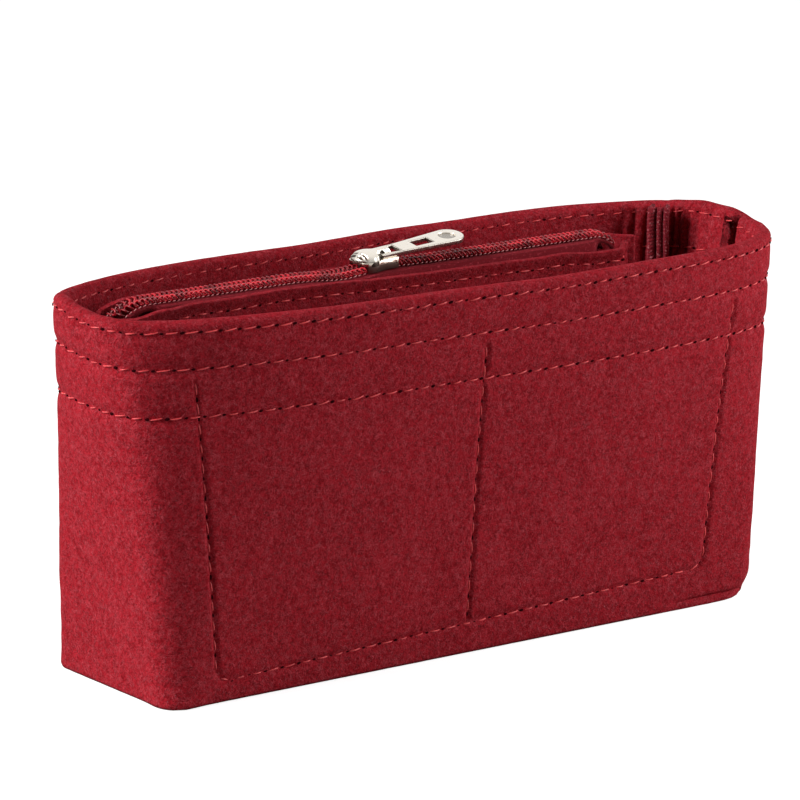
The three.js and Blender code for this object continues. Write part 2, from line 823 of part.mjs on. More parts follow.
// Finishes
function feltFinish(color) {
  return new THREE.MeshStandardMaterial({ color, roughness: 1, metalness: 0 });
}

function wovenFinish(color) {
  return new THREE.MeshStandardMaterial({ color, roughness: 0.85, metalness: 0 });
}

function nylonFinish(color) {
  return new THREE.MeshStandardMaterial({ color, roughness: 0.4, metalness: 0 });
}

function nickelFinish() {
  return new THREE.MeshStandardMaterial({ color: '#d9d4cb', roughness: 0.2, metalness: 1 });
}

function named(name, geometry, material) {
  const mesh = new THREE.Mesh(geometry, material);
  mesh.name = name;
  return mesh;
}

function feltBody() {
  const group = new THREE.Group();
  group.add(
    named('base_panel', basePanel(), feltFinish('#8f1426')),
    named('wall_strip', wallStrip(), feltFinish('#a3182c')),
    named('front_pocket_panel', pocketPanel(frontMiddle, frontPocketShift), feltFinish('#8a1324')),
    named('back_pocket_panel', pocketPanel(backMiddle, 0), feltFinish('#8a1324')),
    named('seam_binding', seamBinding(), wovenFinish('#7d1322')),
  );
  return group;
}

function zipPouch() {
  const group = new THREE.Group();
  group.add(
    named('pouch_front_panel', pouchPanel(-1), feltFinish('#8a1324')),
    named('pouch_back_panel', pouchPanel(1), feltFinish('#8a1324')),
    named('zip_tape_front', zipTape(-1), wovenFinish('#7a1020')),
    named('zip_tape_back', zipTape(1), wovenFinish('#7a1020')),
    named('zip_coil_front', coilRow(-1), nylonFinish('#b3182f')),
    named('zip_coil_back', coilRow(1), nylonFinish('#b3182f')),
  );
  return group;
}

function zipSlider() {
  const group = new THREE.Group();
  group.position.set(sliderRestX, pouchCentreY, tapeTopHeight);
  const pull = named('pull_tab', pullTab(), nickelFinish());
  pull.position.set(barOffset, 0, plateTop + barRise);
  pull.rotation.y = -THREE.MathUtils.degToRad(pullRestDegrees);
  group.add(
    named('slider_body', sliderBody(), nickelFinish()),
    named('slider_cap', sliderCap(), nickelFinish()),
    named('lock_pawl', lockPawl(), nickelFinish()),
    pull,
  );
  return group;
}

const insert = new THREE.Group();
insert.add(feltBody(), zipPouch(), zipSlider());

export default insert;
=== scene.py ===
"""Felt purse organizer insert with inner pockets and a zip pouch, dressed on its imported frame.

Sizes are in millimetres until a mesh is made. +X runs along the length towards the closed end of
the zip, the front wall faces -Y and +Z is up, as in the frame.
"""

import bisect
import logging
import math
import random
from dataclasses import dataclass, field
from enum import Enum
from functools import cached_property
from typing import Callable, Iterable, Iterator, Sequence

import bmesh
import bpy
from mathutils import Matrix, Vector, noise


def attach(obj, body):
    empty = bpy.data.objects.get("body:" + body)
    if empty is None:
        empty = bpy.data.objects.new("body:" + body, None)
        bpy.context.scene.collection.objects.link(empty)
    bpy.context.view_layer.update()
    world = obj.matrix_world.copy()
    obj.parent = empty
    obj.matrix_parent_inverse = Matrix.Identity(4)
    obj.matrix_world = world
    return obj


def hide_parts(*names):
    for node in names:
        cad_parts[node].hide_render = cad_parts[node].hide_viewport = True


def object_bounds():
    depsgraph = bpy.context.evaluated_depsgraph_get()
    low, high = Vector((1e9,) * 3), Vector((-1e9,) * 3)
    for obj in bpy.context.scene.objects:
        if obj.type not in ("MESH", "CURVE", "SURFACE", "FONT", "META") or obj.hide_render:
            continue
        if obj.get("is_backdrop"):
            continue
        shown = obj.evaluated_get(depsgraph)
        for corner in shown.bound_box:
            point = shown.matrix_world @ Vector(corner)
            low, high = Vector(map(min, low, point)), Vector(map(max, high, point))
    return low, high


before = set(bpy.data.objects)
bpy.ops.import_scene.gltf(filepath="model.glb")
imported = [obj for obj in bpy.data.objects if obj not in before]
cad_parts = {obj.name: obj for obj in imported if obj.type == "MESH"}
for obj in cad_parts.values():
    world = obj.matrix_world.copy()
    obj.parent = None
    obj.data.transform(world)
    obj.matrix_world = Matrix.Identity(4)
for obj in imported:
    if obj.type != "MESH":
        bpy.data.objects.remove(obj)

LOG = logging.getLogger("insert")
MM = 0.001
Colour = tuple[float, float, float]
Material = bpy.types.Material
Shape = bmesh.types.BMesh


class Body(Enum):
    """The bodies that pieces ride on."""

    FELT = "felt_box"
    SLIDER = "slider"
    PULL = "pull"
    PAWL = "pawl"


class Side(Enum):
    """The two long sides of the insert and of its zip."""

    FRONT = -1
    BACK = 1

    @property
    def label(self) -> str:
        """The side's name in the names of pieces."""
        return self.name.lower()


def srgb(red: int, green: int, blue: int) -> Colour:
    """Returns the linear colour of an 8 bit screen colour."""
    shares = (channel / 255 for channel in (red, green, blue))
    return tuple(s / 12.92 if s <= 0.04045 else ((s + 0.055) / 1.055) ** 2.4 for s in shares)


def smooth(share: float) -> float:
    """Returns an eased step from 0 to 1."""
    held = min(max(share, 0.0), 1.0)
    return held * held * (3 - 2 * held)


def blend(start: float, end: float, share: float) -> float:
    """Returns the value that lies a share of the way from start to end."""
    return start + (end - start) * share


def bell(away: float) -> float:
    """Returns 1 at 0 and nearly nothing from 2 on, to either side."""
    return math.exp(-away * away)


def rounded(away: float) -> float:
    """Returns a quarter circle's height: 1 at 0 and 0 from 1 on."""
    return math.sqrt(max(1 - away * away, 0.0))


# Materials


class Wire:
    """An output socket of a material, with arithmetic that adds Math nodes."""

    def __init__(self, tree: bpy.types.NodeTree, socket: bpy.types.NodeSocket) -> None:
        """Keeps the tree and the socket."""
        self.tree = tree
        self.socket = socket

    def _math(self, operation: str, first: "Wire | float", second: "Wire | float") -> "Wire":
        """Adds one Math node.

        Args:
            operation: The node's operation.
            first: The first term.
            second: The second term.

        Returns:
            The node's result.
        """
        node = self.tree.nodes.new("ShaderNodeMath")
        node.operation = operation
        for place, term in enumerate((first, second)):
            if isinstance(term, Wire):
                self.tree.links.new(term.socket, node.inputs[place])
            else:
                node.inputs[place].default_value = term
        return Wire(self.tree, node.outputs[0])

    def __add__(self, other: "Wire | float") -> "Wire":
        """Returns the sum."""
        return self._math("ADD", self, other)

    def __sub__(self, other: "Wire | float") -> "Wire":
        """Returns the difference."""
        return self._math("SUBTRACT", self, other)

    def __rsub__(self, other: float) -> "Wire":
        """Returns the difference from a number."""
        return self._math("SUBTRACT", other, self)

    def __mul__(self, other: "Wire | float") -> "Wire":
        """Returns the product."""
        return self._math("MULTIPLY", self, other)

    def __abs__(self) -> "Wire":
        """Returns the value without its sign."""
        return self._math("ABSOLUTE", self, 0.0)

    __radd__ = __add__


class Board:
    """The node tree of one material."""

    def __init__(self, name: str) -> None:
        """Starts an empty tree.

        Args:
            name: The material's name.
        """
        self.material = bpy.data.materials.new(name)
        self.material.use_nodes = True
        self.tree = self.material.node_tree
        self.tree.nodes.clear()

    def add(
        self,
        kind: str,
        settings: dict[str, object] | None = None,
        values: dict[str, object] | None = None,
        output: int | str = 0,
    ) -> Wire:
        """Adds any node.

        Args:
            kind: The node's type.
            settings: Its properties.
            values: Its sockets' values or wires, by socket name or identifier.
            output: The output that is returned.

        Returns:
            The chosen output.
        """
        node = self.tree.nodes.new(kind)
        for key, setting in (settings or {}).items():
            setattr(node, key, setting)
        for key, value in (values or {}).items():
            socket = next(one for one in node.inputs if key in (one.identifier, one.name))
            if isinstance(value, Wire):
                self.tree.links.new(value.socket, socket)
            elif socket.type == "RGBA":
                socket.default_value = (*value, 1.0)
            else:
                socket.default_value = value
        return Wire(self.tree, node.outputs[output])

    def place(self) -> Wire:
        """Returns the place on the piece."""
        return self.add("ShaderNodeTexCoord", output="Object")

    def noise(
        self, place: Wire, scale: float, detail: float = 2.0, distortion: float = 0.0
    ) -> Wire:
        """Returns a noise value over a place."""
        values = {"Vector": place, "Scale": scale, "Detail": detail, "Distortion": distortion}
        return self.add("ShaderNodeTexNoise", values=values)

    def spread(self, value: Wire, low: float, high: float) -> Wire:
        """Returns a value spread so that low becomes 0 and high becomes 1, held between them."""
        values = {"Value": value, "From Min": low, "From Max": high}
        return self.add("ShaderNodeMapRange", {"clamp": True}, values)

    def mix(self, factor: Wire | float, one: Wire | Colour, two: Wire | Colour) -> Wire:
        """Returns one colour turned into two by the factor."""
        values = {"Factor_Float": factor, "A_Color": one, "B_Color": two}
        return self.add("ShaderNodeMix", {"data_type": "RGBA"}, values, output=2)

    def bump(
        self, height: Wire, strength: float, distance: float, under: Wire | None = None
    ) -> Wire:
        """Returns a normal raised by a height, over another normal if there is one."""
        values = {"Height": height, "Strength": strength, "Distance": distance * MM}
        if under is not None:
            values["Normal"] = under
        return self.add("ShaderNodeBump", values=values)

    def surface(self, values: dict[str, object]) -> Material:
        """Adds the shader and the output.

        Args:
            values: The shader's sockets.

        Returns:
            The finished material.
        """
        self.end("ShaderNodeOutputMaterial", self.add("ShaderNodeBsdfPrincipled", values=values))
        return self.material

    def end(self, kind: str, shader: Wire) -> None:
        """Leads a shader to the tree's output.

        Args:
            kind: The output node's type.
            shader: The shader.
        """
        output = self.tree.nodes.new(kind)
        self.tree.links.new(shader.socket, output.inputs["Surface"])

    def seen(self) -> Wire:
        """Returns 1 for what the camera sees, directly, mirrored or through glass."""
        rays = ("Is Camera Ray", "Is Glossy Ray", "Is Transmission Ray")
        total = sum(self.add("ShaderNodeLightPath", output=ray) for ray in rays)
        return self.spread(total, 0.0, 1.0)


@dataclass(frozen=True)
class FeltFinish:
    """Needled felt: thin pale fibres that cross over a darker, mottled ground."""

    name: str
    shade: Colour
    pale: Colour
    deep: Colour
    lint: Colour
    nap: float = 0.7
    mottle_scale: float = 520
    cloud_scale: float = 60
    grain_scale: float = 1700
    fleck_scale: float = 1900
    fibre_layers: tuple[tuple[float, Colour], ...] = (
        (560, (0.0, 0.0, 0.0)), (760, (3.1, 1.7, 5.3)), (1050, (7.7, 4.9, 2.3)),
    )

    def strands(self, board: Board, place: Wire, scale: float, shift: Colour) -> Wire:
        """Returns one layer of short curled fibres.

        Args:
            board: The felt's tree.
            place: The place on the felt.
            scale: How close together the fibres lie.
            shift: Where this layer starts, so that no two layers agree.

        Returns:
            1 on a fibre and 0 beside it.
        """
        moved = board.add("ShaderNodeMapping", values={"Vector": place, "Location": shift})
        winding = board.noise(moved, scale, 2.5, 1.1)
        line = 1.0 - board.spread(abs(winding - 0.5), 0.0, 0.06)
        broken = board.spread(board.noise(moved, scale * 0.9, 1, 0.4), 0.44, 0.56)
        return line * broken

    def material(self) -> Material:
        """Returns the felt's material."""
        board = Board(self.name)
        place = board.place()
        mottle = board.noise(place, self.mottle_scale, 3, 0.5)
        clouds = board.noise(place, self.cloud_scale, 2)
        grain = board.noise(place, self.grain_scale, 4, 0.9)
        fibres = sum(self.strands(board, place, *layer) * 0.5 for layer in self.fibre_layers)
        ground = mottle * 0.3 + clouds * 0.1 + grain * 0.6
        colour = board.mix(board.spread(ground, 0.42, 0.58), self.deep, self.shade)
        colour = board.mix(board.spread(fibres, 0.0, 1.8), colour, self.pale)
        gaps = board.spread(board.noise(place, self.fleck_scale, 2, 0.6), 0.6, 0.7)
        colour = board.mix(gaps * 0.75, colour, tuple(channel * 0.35 for channel in self.deep))
        lint = board.spread(board.noise(place, self.fleck_scale, 2, 0.5), 0.69, 0.77)
        colour = board.mix(lint * 0.5, colour, self.lint)
        relief = board.bump(mottle * 0.5 + ground * 0.5, self.nap * 0.7, 0.7)
        fuzz = board.bump(fibres * 0.6 + grain * 0.6, self.nap, 0.3, relief)
        return board.surface({
            "Base Color": colour,
            "Roughness": 0.95,
            "Specular IOR Level": 0.05,
            "Sheen Weight": 0.04,
            "Sheen Roughness": 0.5,
            "Sheen Tint": self.pale,
            "Normal": fuzz,
        })


@dataclass(frozen=True)
class ThreadFinish:
    """Twisted sewing thread, with a soft shine."""

    name: str
    shade: Colour
    deep: Colour
    roughness: float = 0.42
    shine: float = 0.45
    twist_scale: float = 2600
    wear_scale: float = 90

    def material(self) -> Material:
        """Returns the thread's material."""
        board = Board(self.name)
        place = board.place()
        twist = board.noise(place, self.twist_scale, 2, 0.5)
        wear = board.noise(place, self.wear_scale, 3)
        lit = board.spread(twist * 0.6 + wear * 0.4, 0.35, 0.65)
        colour = board.mix(lit, self.deep, self.shade)
        return board.surface({
            "Base Color": colour,
            "Roughness": self.roughness,
            "Specular IOR Level": self.shine,
            "Normal": board.bump(twist, 0.4, 0.08),
        })


@dataclass(frozen=True)
class WovenFinish:
    """Woven or knitted tape: a pattern that follows its surface, with pale flecks of lint."""

    name: str
    shade: Colour
    deep: Colour
    fleck: Colour
    along: float
    across: float
    relief: float = 0.15
    grain_scale: float = 1800
    lint_scale: float = 1500

    def material(self) -> Material:
        """Returns the tape's material."""
        board = Board(self.name)
        pattern = board.add("ShaderNodeUVMap", {"uv_map": "pattern"})
        scale = (self.along, self.across, 1.0)
        laid = board.add("ShaderNodeMapping", values={"Vector": pattern, "Scale": scale})
        settings = {"wave_type": "BANDS", "bands_direction": "DIAGONAL", "wave_profile": "SIN"}
        values = {"Vector": laid, "Scale": 1.0, "Distortion": 0.6}
        twill = board.add("ShaderNodeTexWave", settings, values)
        place = board.place()
        grain = board.noise(place, self.grain_scale, 3, 0.8)
        lint = board.spread(board.noise(place, self.lint_scale, 2, 0.3), 0.58, 0.68)
        lit = board.spread(twill * 0.5 + grain * 0.5, 0.25, 0.75)
        colour = board.mix(lit, self.deep, self.shade)
        return board.surface({
            "Base Color": board.mix(lint * 0.6, colour, self.fleck),
            "Roughness": 0.85,
            "Specular IOR Level": 0.12,
            "Sheen Weight": 0.05,
            "Sheen Tint": self.fleck,
            "Normal": board.bump(twill * 0.6 + grain * 0.4, 0.8, self.relief),
        })


@dataclass(frozen=True)
class NylonFinish:
    """Wound nylon, glossy where it has been rubbed by the slider."""

    name: str
    shade: Colour
    deep: Colour
    wear_scale: float = 240

    def material(self) -> Material:
        """Returns the coil's material."""
        board = Board(self.name)
        place = board.place()
        wear = board.noise(place, self.wear_scale, 3, 0.4)
        colour = board.mix(board.spread(wear, 0.4, 0.6), self.deep, self.shade)
        return board.surface({
            "Base Color": colour,
            "Roughness": board.spread(wear, 0.2, 0.8) * 0.15 + 0.27,
            "Specular IOR Level": 0.3,
        })


@dataclass(frozen=True)
class NickelFinish:
    """Bright nickel plate over a cast surface, scuffed and pitted, with painted shade in its
    hollows and between parts.

    The band of painted shade lies between two heights, in metres over the table.
    """

    name: str
    shade: Colour
    # The colour of the painted shade.
    deep: Colour
    dull_band: tuple[float, float] = (0.0, 0.001)
    band_edge: float = 0.18 * MM
    ripple_scale: float = 320
    scuff_scale: float = 1500
    pit_scale: float = 900

    def material(self) -> Material:
        """Returns the plated metal's material."""
        board = Board(self.name)
        place = board.place()
        ripple = board.noise(place, self.ripple_scale, 2, 0.3)
        scuff = board.noise(place, self.scuff_scale, 4, 1.5)
        pits = board.spread(board.noise(place, self.pit_scale, 2), 0.68, 0.76)
        height = board.add("ShaderNodeSeparateXYZ", values={"Vector": place}, output="Z")
        # Painted shade: a darker band between two heights and a per-vertex painted shade attribute;
        # random pits add real dullness.
        low, high = self.dull_band
        above = board.spread(height, low, low + self.band_edge)
        band = above * (1.0 - board.spread(height, high - self.band_edge, high))
        tarnish = board.add("ShaderNodeAttribute", {"attribute_name": "tarnish"}, output="Fac")
        shade_and_pits = board.spread(tarnish + band * 0.8 + pits * 0.5, 0.0, 1.0)
        colour = board.mix(shade_and_pits, self.shade, self.deep)
        return board.surface({
            "Base Color": colour,
            "Metallic": 1.0,
            "Roughness": board.spread(scuff, 0.45, 0.75) * 0.14 + shade_and_pits * 0.15 + 0.16,
            "Normal": board.bump(ripple, 0.3, 0.3),
        })


Finish = FeltFinish | ThreadFinish | WovenFinish | NylonFinish | NickelFinish

LINT = srgb(216, 112, 122)
FELT = (srgb(164, 32, 43), srgb(200, 84, 94), srgb(122, 15, 24), LINT)
LINING = (srgb(156, 32, 42), srgb(190, 78, 88), srgb(114, 15, 24), LINT)
RED_THREAD = (srgb(236, 74, 76), srgb(176, 30, 42))
PALE_THREAD = (srgb(236, 160, 160), srgb(190, 80, 88))
SHADOW = (srgb(52, 6, 11), srgb(34, 3, 7))
KNIT = (srgb(160, 40, 52), srgb(82, 14, 24), srgb(208, 130, 136))
WEAVE = (srgb(138, 22, 34), srgb(92, 12, 22), srgb(176, 60, 72))
NYLON = (srgb(186, 22, 38), srgb(106, 8, 19))
# The second nickel colour is a darker copy of the first: painted shade for the slider body's dimmer
# reflections. The third is the colour of painted shade in hollows and between parts.
BRIGHT, SHADED_NICKEL, NICKEL_SHADOW = srgb(240, 232, 220), srgb(196, 186, 172), srgb(56, 47, 42)
# Painted shade: the heights between the slider's plates, darkened as their shade.
SHADE_BETWEEN_PLATES = (0.0986, 0.1007)  # in metres over the table


def made_from(finish: Finish) -> Material:
    """Returns a field that holds a finish's material."""
    return field(default_factory=finish.material)


@dataclass(frozen=True)
class Palette:
    """Every material of the insert, made once."""

    wall: Material = made_from(FeltFinish("wall_felt", *FELT))
    base: Material = made_from(FeltFinish("base_felt", *FELT))
    lining: Material = made_from(FeltFinish("lining_felt", *LINING))
    thread: Material = made_from(ThreadFinish("red_thread", *RED_THREAD))
    zip_thread: Material = made_from(ThreadFinish("pale_thread", *PALE_THREAD, 0.4))
    # Painted shade: the needle holes are dark beads in the SHADOW colours.
    hole: Material = made_from(ThreadFinish("needle_hole", *SHADOW, 1.0, 0.02))
    binding: Material = made_from(WovenFinish("binding_tape", *KNIT, 90, 30, 0.3))
    tape: Material = made_from(WovenFinish("zip_tape", *WEAVE, 300, 26))
    coil: Material = made_from(NylonFinish("coil_nylon", *NYLON))
    nickel: Material = made_from(NickelFinish("nickel", BRIGHT, NICKEL_SHADOW))
    # The slider body's nickel: a darker copy of the bright nickel, painted shade, with more painted
    # shade between the plates.
    worn_nickel: Material = made_from(NickelFinish("worn_nickel", SHADED_NICKEL, NICKEL_SHADOW, SHADE_BETWEEN_PLATES))


# Meshes


def mesh_of(made: Shape, name: str) -> bpy.types.Mesh:
    """Turns a shape into a mesh.

    Args:
        made: The shape, which is freed.
        name: The mesh's name.

    Returns:
        The mesh.
    """
    mesh = bpy.data.meshes.new(name)
    made.to_mesh(mesh)
    made.free()
    return mesh


def added(name: str, data: bpy.types.ID) -> bpy.types.Object:
    """Adds an object to the scene.

    Args:
        name: The object's name.
        data: Its mesh, curve, lamp or camera.

    Returns:
        The object.
    """
    made_object = bpy.data.objects.new(name, data)
    bpy.context.scene.collection.objects.link(made_object)
    return made_object


@dataclass(frozen=True)
class Piece:
    """One piece of the insert: what it is called, its finish and the body that it rides on."""

    name: str
    material: Material
    slot: str
    body: Body = Body.FELT
    stands_for: tuple[str, ...] = ()

    def publish(self, made: Shape) -> bpy.types.Object:
        """Turns a shape into the piece and hands it to the frame.

        Args:
            made: The shape in metres, which is freed.

        Returns:
            The piece's object.
        """
        mesh = mesh_of(made, self.name)
        mesh.shade_smooth()
        mesh.materials.append(self.material)
        made_object = added(self.name, mesh)
        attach(made_object, self.body.value)
        if self.stands_for:
            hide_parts(*self.stands_for)
        LOG.info("%s: %d faces", self.name, len(made_object.data.polygons))
        return made_object


@dataclass(frozen=True)
class Loft:
    """A grid of points bent into a strip, a ring or a tube."""

    columns: int
    rows: int
    ring: bool = False
    tube: bool = False
    capped: bool = False

    def shape(self, place: Callable[[float, float], Vector]) -> Shape:
        """Bends the grid.

        Args:
            place: Returns the point in millimetres at a share of the columns and of the rows.

        Returns:
            The shape in metres, with a "pattern" UV map over its shares.
        """
        made = bmesh.new()
        made.loops.layers.uv.new("pattern")
        counts = {"x_segments": self.columns, "y_segments": self.rows}
        bmesh.ops.create_grid(made, **counts, size=1.0, calc_uvs=True)
        for vertex in made.verts:
            across = round((vertex.co.x + 1) / 2 * self.columns) / self.columns
            up = round((vertex.co.y + 1) / 2 * self.rows) / self.rows
            if self.ring and across == 1:
                across = 0.0
            if self.tube and up == 1:
                up = 0.0
            vertex.co = place(across, up) * MM
        if self.ring or self.tube:
            bmesh.ops.remove_doubles(made, verts=made.verts, dist=1e-7)
        if self.capped:
            edges = [edge for edge in made.edges if edge.is_boundary]
            bmesh.ops.holes_fill(made, edges=edges, sides=0)
        bmesh.ops.recalc_face_normals(made, faces=made.faces)
        return made


def sheet_level(around: float, levels: int) -> tuple[bool, float]:
    """Finds a place on a sheet that is lofted up one face and down the other.

    Args:
        around: The share of the loft's rows.
        levels: The steps up each face.

    Returns:
        Whether the place is on the second face, and the share of its height.
    """
    row = round(around * 2 * (levels + 1))
    second = row > levels
    return second, (2 * levels + 1 - row if second else row) / levels


def swept_tube(
    path: Sequence[Vector], centres: Sequence[Vector], radii: Sequence[float], sides: int
) -> Shape:
    """Sweeps a round section along a path.

    Args:
        path: The points of the tube's middle.
        centres: For each point, a point that the section's first corner faces away from.
        radii: The section's radius at each point.
        sides: The section's corners.

    Returns:
        The closed tube in metres.
    """
    last = len(path) - 1
    frames = []
    for step, point in enumerate(path):
        heading = (path[min(step + 1, last)] - path[max(step - 1, 0)]).normalized()
        out = point - centres[step]
        out = (out - heading * out.dot(heading)).normalized()
        frames.append((point, out * radii[step], heading.cross(out) * radii[step]))

    def place(along: float, around: float) -> Vector:
        """Returns a point of the skin."""
        point, out, sideways = frames[round(along * last)]
        angle = 2 * math.pi * around
        return point + out * math.cos(angle) + sideways * math.sin(angle)

    return Loft(last, sides, tube=True, capped=True).shape(place)


@dataclass(frozen=True)
class Stitch:
    """Where one stitch lies: its middle, the way it runs and the way out of the felt."""

    middle: Vector
    along: Vector
    outward: Vector

    def matrix(self) -> Matrix:
        """Returns the placing of a stitch made along X with Z outward, in metres."""
        heading = self.along.normalized()
        out = (self.outward - heading * self.outward.dot(heading)).normalized()
        turned = Matrix((heading, out.cross(heading), out)).transposed().to_4x4()
        return Matrix.Translation(self.middle * MM) @ turned


def repeated(template: Shape, places: Iterable[Matrix]) -> Shape:
    """Copies a small shape to many places.

    Args:
        template: The shape, which is freed.
        places: One matrix per copy.

    Returns:
        All copies as one shape.
    """
    pattern = mesh_of(template, "pattern")
    made = bmesh.new()
    for matrix in places:
        start = len(made.verts)
        made.from_mesh(pattern)
        made.verts.ensure_lookup_table()
        bmesh.ops.transform(made, matrix=matrix, verts=made.verts[start:])
    bpy.data.meshes.remove(pattern)
    return made


def arc_lengths(points: Sequence[Vector]) -> list[float]:
    """Returns a line's length up to each of its points."""
    lengths = [0.0]
    for before, after in zip(points, points[1:]):
        lengths.append(lengths[-1] + (after - before).length)
    return lengths


def even_places(lengths: Sequence[float], pitch: float) -> Iterator[tuple[int, float]]:
    """Finds evenly spaced places along a line.

    Args:
        lengths: The line's length up to each of its points.
        pitch: The distance wanted between the places, which is fitted to the length.

    Yields:
        The point after each place, and the place's share of the way to it from the one before.
    """
    count = max(round(lengths[-1] / pitch), 1)
    for index in range(count):
        length = (index + 0.5) / count * lengths[-1]
        after = bisect.bisect_left(lengths, length)
        start = lengths[after - 1]
        yield after, (length - start) / (lengths[after] - start)


def spaced(path: Sequence[Vector], pitch: float) -> list[tuple[Vector, Vector]]:
    """Spaces stitches along a line.

    Args:
        path: The line's points.
        pitch: The distance wanted between stitches, which is fitted to the length.

    Returns:
        Each stitch's middle and the way it runs.
    """
    found = []
    for after, share in even_places(arc_lengths(path), pitch):
        run = path[after] - path[after - 1]
        found.append((path[after - 1] + run * share, run.normalized()))
    return found


@dataclass(frozen=True)
class Needlework:
    """Lockstitch seams: short threads that dip into needle holes, whose shade is painted as dark
    beads.
    """

    pitch: float = 5.2
    thread_length: float = 3.6
    thread_radius: float = 0.22
    sink: float = 0.4
    rise: float = 0.13
    slant: float = 8.0
    scatter: float = 4.5
    hole_radius: float = 0.42
    hole_depth: float = 0.1

    def thread_shape(self) -> Shape:
        """Returns one arched thread along X."""

        def place(along: float, around: float) -> Vector:
            """Returns a point of the thread."""
            arch = math.sin(math.pi * along)
            radius = self.thread_radius * (0.6 + 0.4 * arch)
            angle = 2 * math.pi * around
            return Vector((
                (along - 0.5) * self.thread_length,
                radius * math.cos(angle),
                blend(-self.sink, self.rise, arch ** 0.5) + radius * math.sin(angle),
            ))

        return Loft(6, 6, tube=True, capped=True).shape(place)

    def hole_shape(self) -> Shape:
        """Returns one shadowed needle hole, a flat bead along X."""
        made = bmesh.new()
        bmesh.ops.create_uvsphere(made, u_segments=6, v_segments=4, radius=self.hole_radius * MM)
        bmesh.ops.scale(made, vec=(1.6, 0.9, 0.5), verts=made.verts)
        return made

    def sew(
        self, name: str, stitches: Sequence[Stitch], palette: Palette, slot: str = "wall_felt"
    ) -> None:
        """Makes the threads and the holes of some seams.

        Args:
            name: What the seams are called.
            stitches: Where the stitches lie.
            palette: The finishes.
            slot: The name of a material slot, kept on the pieces but not used.
        """
        rng = random.Random(name)
        threads, holes = [], []
        for stitch in stitches:
            lean = math.radians(self.slant + rng.uniform(-self.scatter, self.scatter))
            stretch = Matrix.Diagonal((rng.uniform(0.72, 1.15), 1.0, 1.0, 1.0))
            threads.append(stitch.matrix() @ Matrix.Rotation(lean, 4, "Z") @ stretch)
            # Each needle hole's shade is painted as a dark bead, half a pitch on and sunk a little
            # into the felt.
            offset = stitch.along.normalized() * (self.pitch / 2 + rng.uniform(-0.2, 0.2))
            dip = stitch.outward.normalized() * self.hole_depth
            hole = Stitch(stitch.middle + offset - dip, stitch.along, stitch.outward).matrix()
            size = Matrix.Scale(rng.uniform(0.75, 1.15), 4)
            holes.append(hole @ Matrix.Rotation(lean, 4, "Z") @ size)
        Piece(name, palette.thread, slot).publish(repeated(self.thread_shape(), threads))
        Piece(f"{name}_holes", palette.hole, slot).publish(repeated(self.hole_shape(), holes))


# Felt body


@dataclass(frozen=True)
class Quarter:
    """One quarter of a plan outline, from the end's middle to the side's middle."""

    points: tuple[Vector, ...]

    @cached_property
    def lengths(self) -> list[float]:
        """The arc length up to each point."""
        return arc_lengths(self.points)

    @cached_property
    def corner(self) -> float:
        """The arc length up to where the outline heads at 45 degrees."""
        leans = []
        for index, (before, after) in enumerate(zip(self.points, self.points[1:])):
            run = after - before
            leans.append((abs(abs(run.x) - abs(run.y)) / run.length, index))
        index = min(leans)[1]
        return (self.lengths[index] + self.lengths[index + 1]) / 2

    def at(self, place: float) -> Vector:
        """Returns the point at 0, the end's middle, by 1, the corner, to 2, the side's middle."""
        past = max(place - 1, 0.0)
        length = min(place, 1.0) * self.corner + past * (self.lengths[-1] - self.corner)
        index = min(max(bisect.bisect_left(self.lengths, length), 1), len(self.points) - 1)
        start = self.lengths[index - 1]
        share = (length - start) / (self.lengths[index] - start)
        return self.points[index - 1].lerp(self.points[index], share)


def turns_from(middle: float, turn: float) -> float:
    """Returns how far on a turn lies from another, the shorter way round the box."""
    return (turn - middle + 4) % 8 - 4


def ring_noise(turn: float, reach_x: float, reach_y: float, level: float) -> float:
    """Returns noise that joins up round the box."""
    angle = turn * math.pi / 4
    return noise.noise(Vector((math.cos(angle) * reach_x, math.sin(angle) * reach_y, level)))


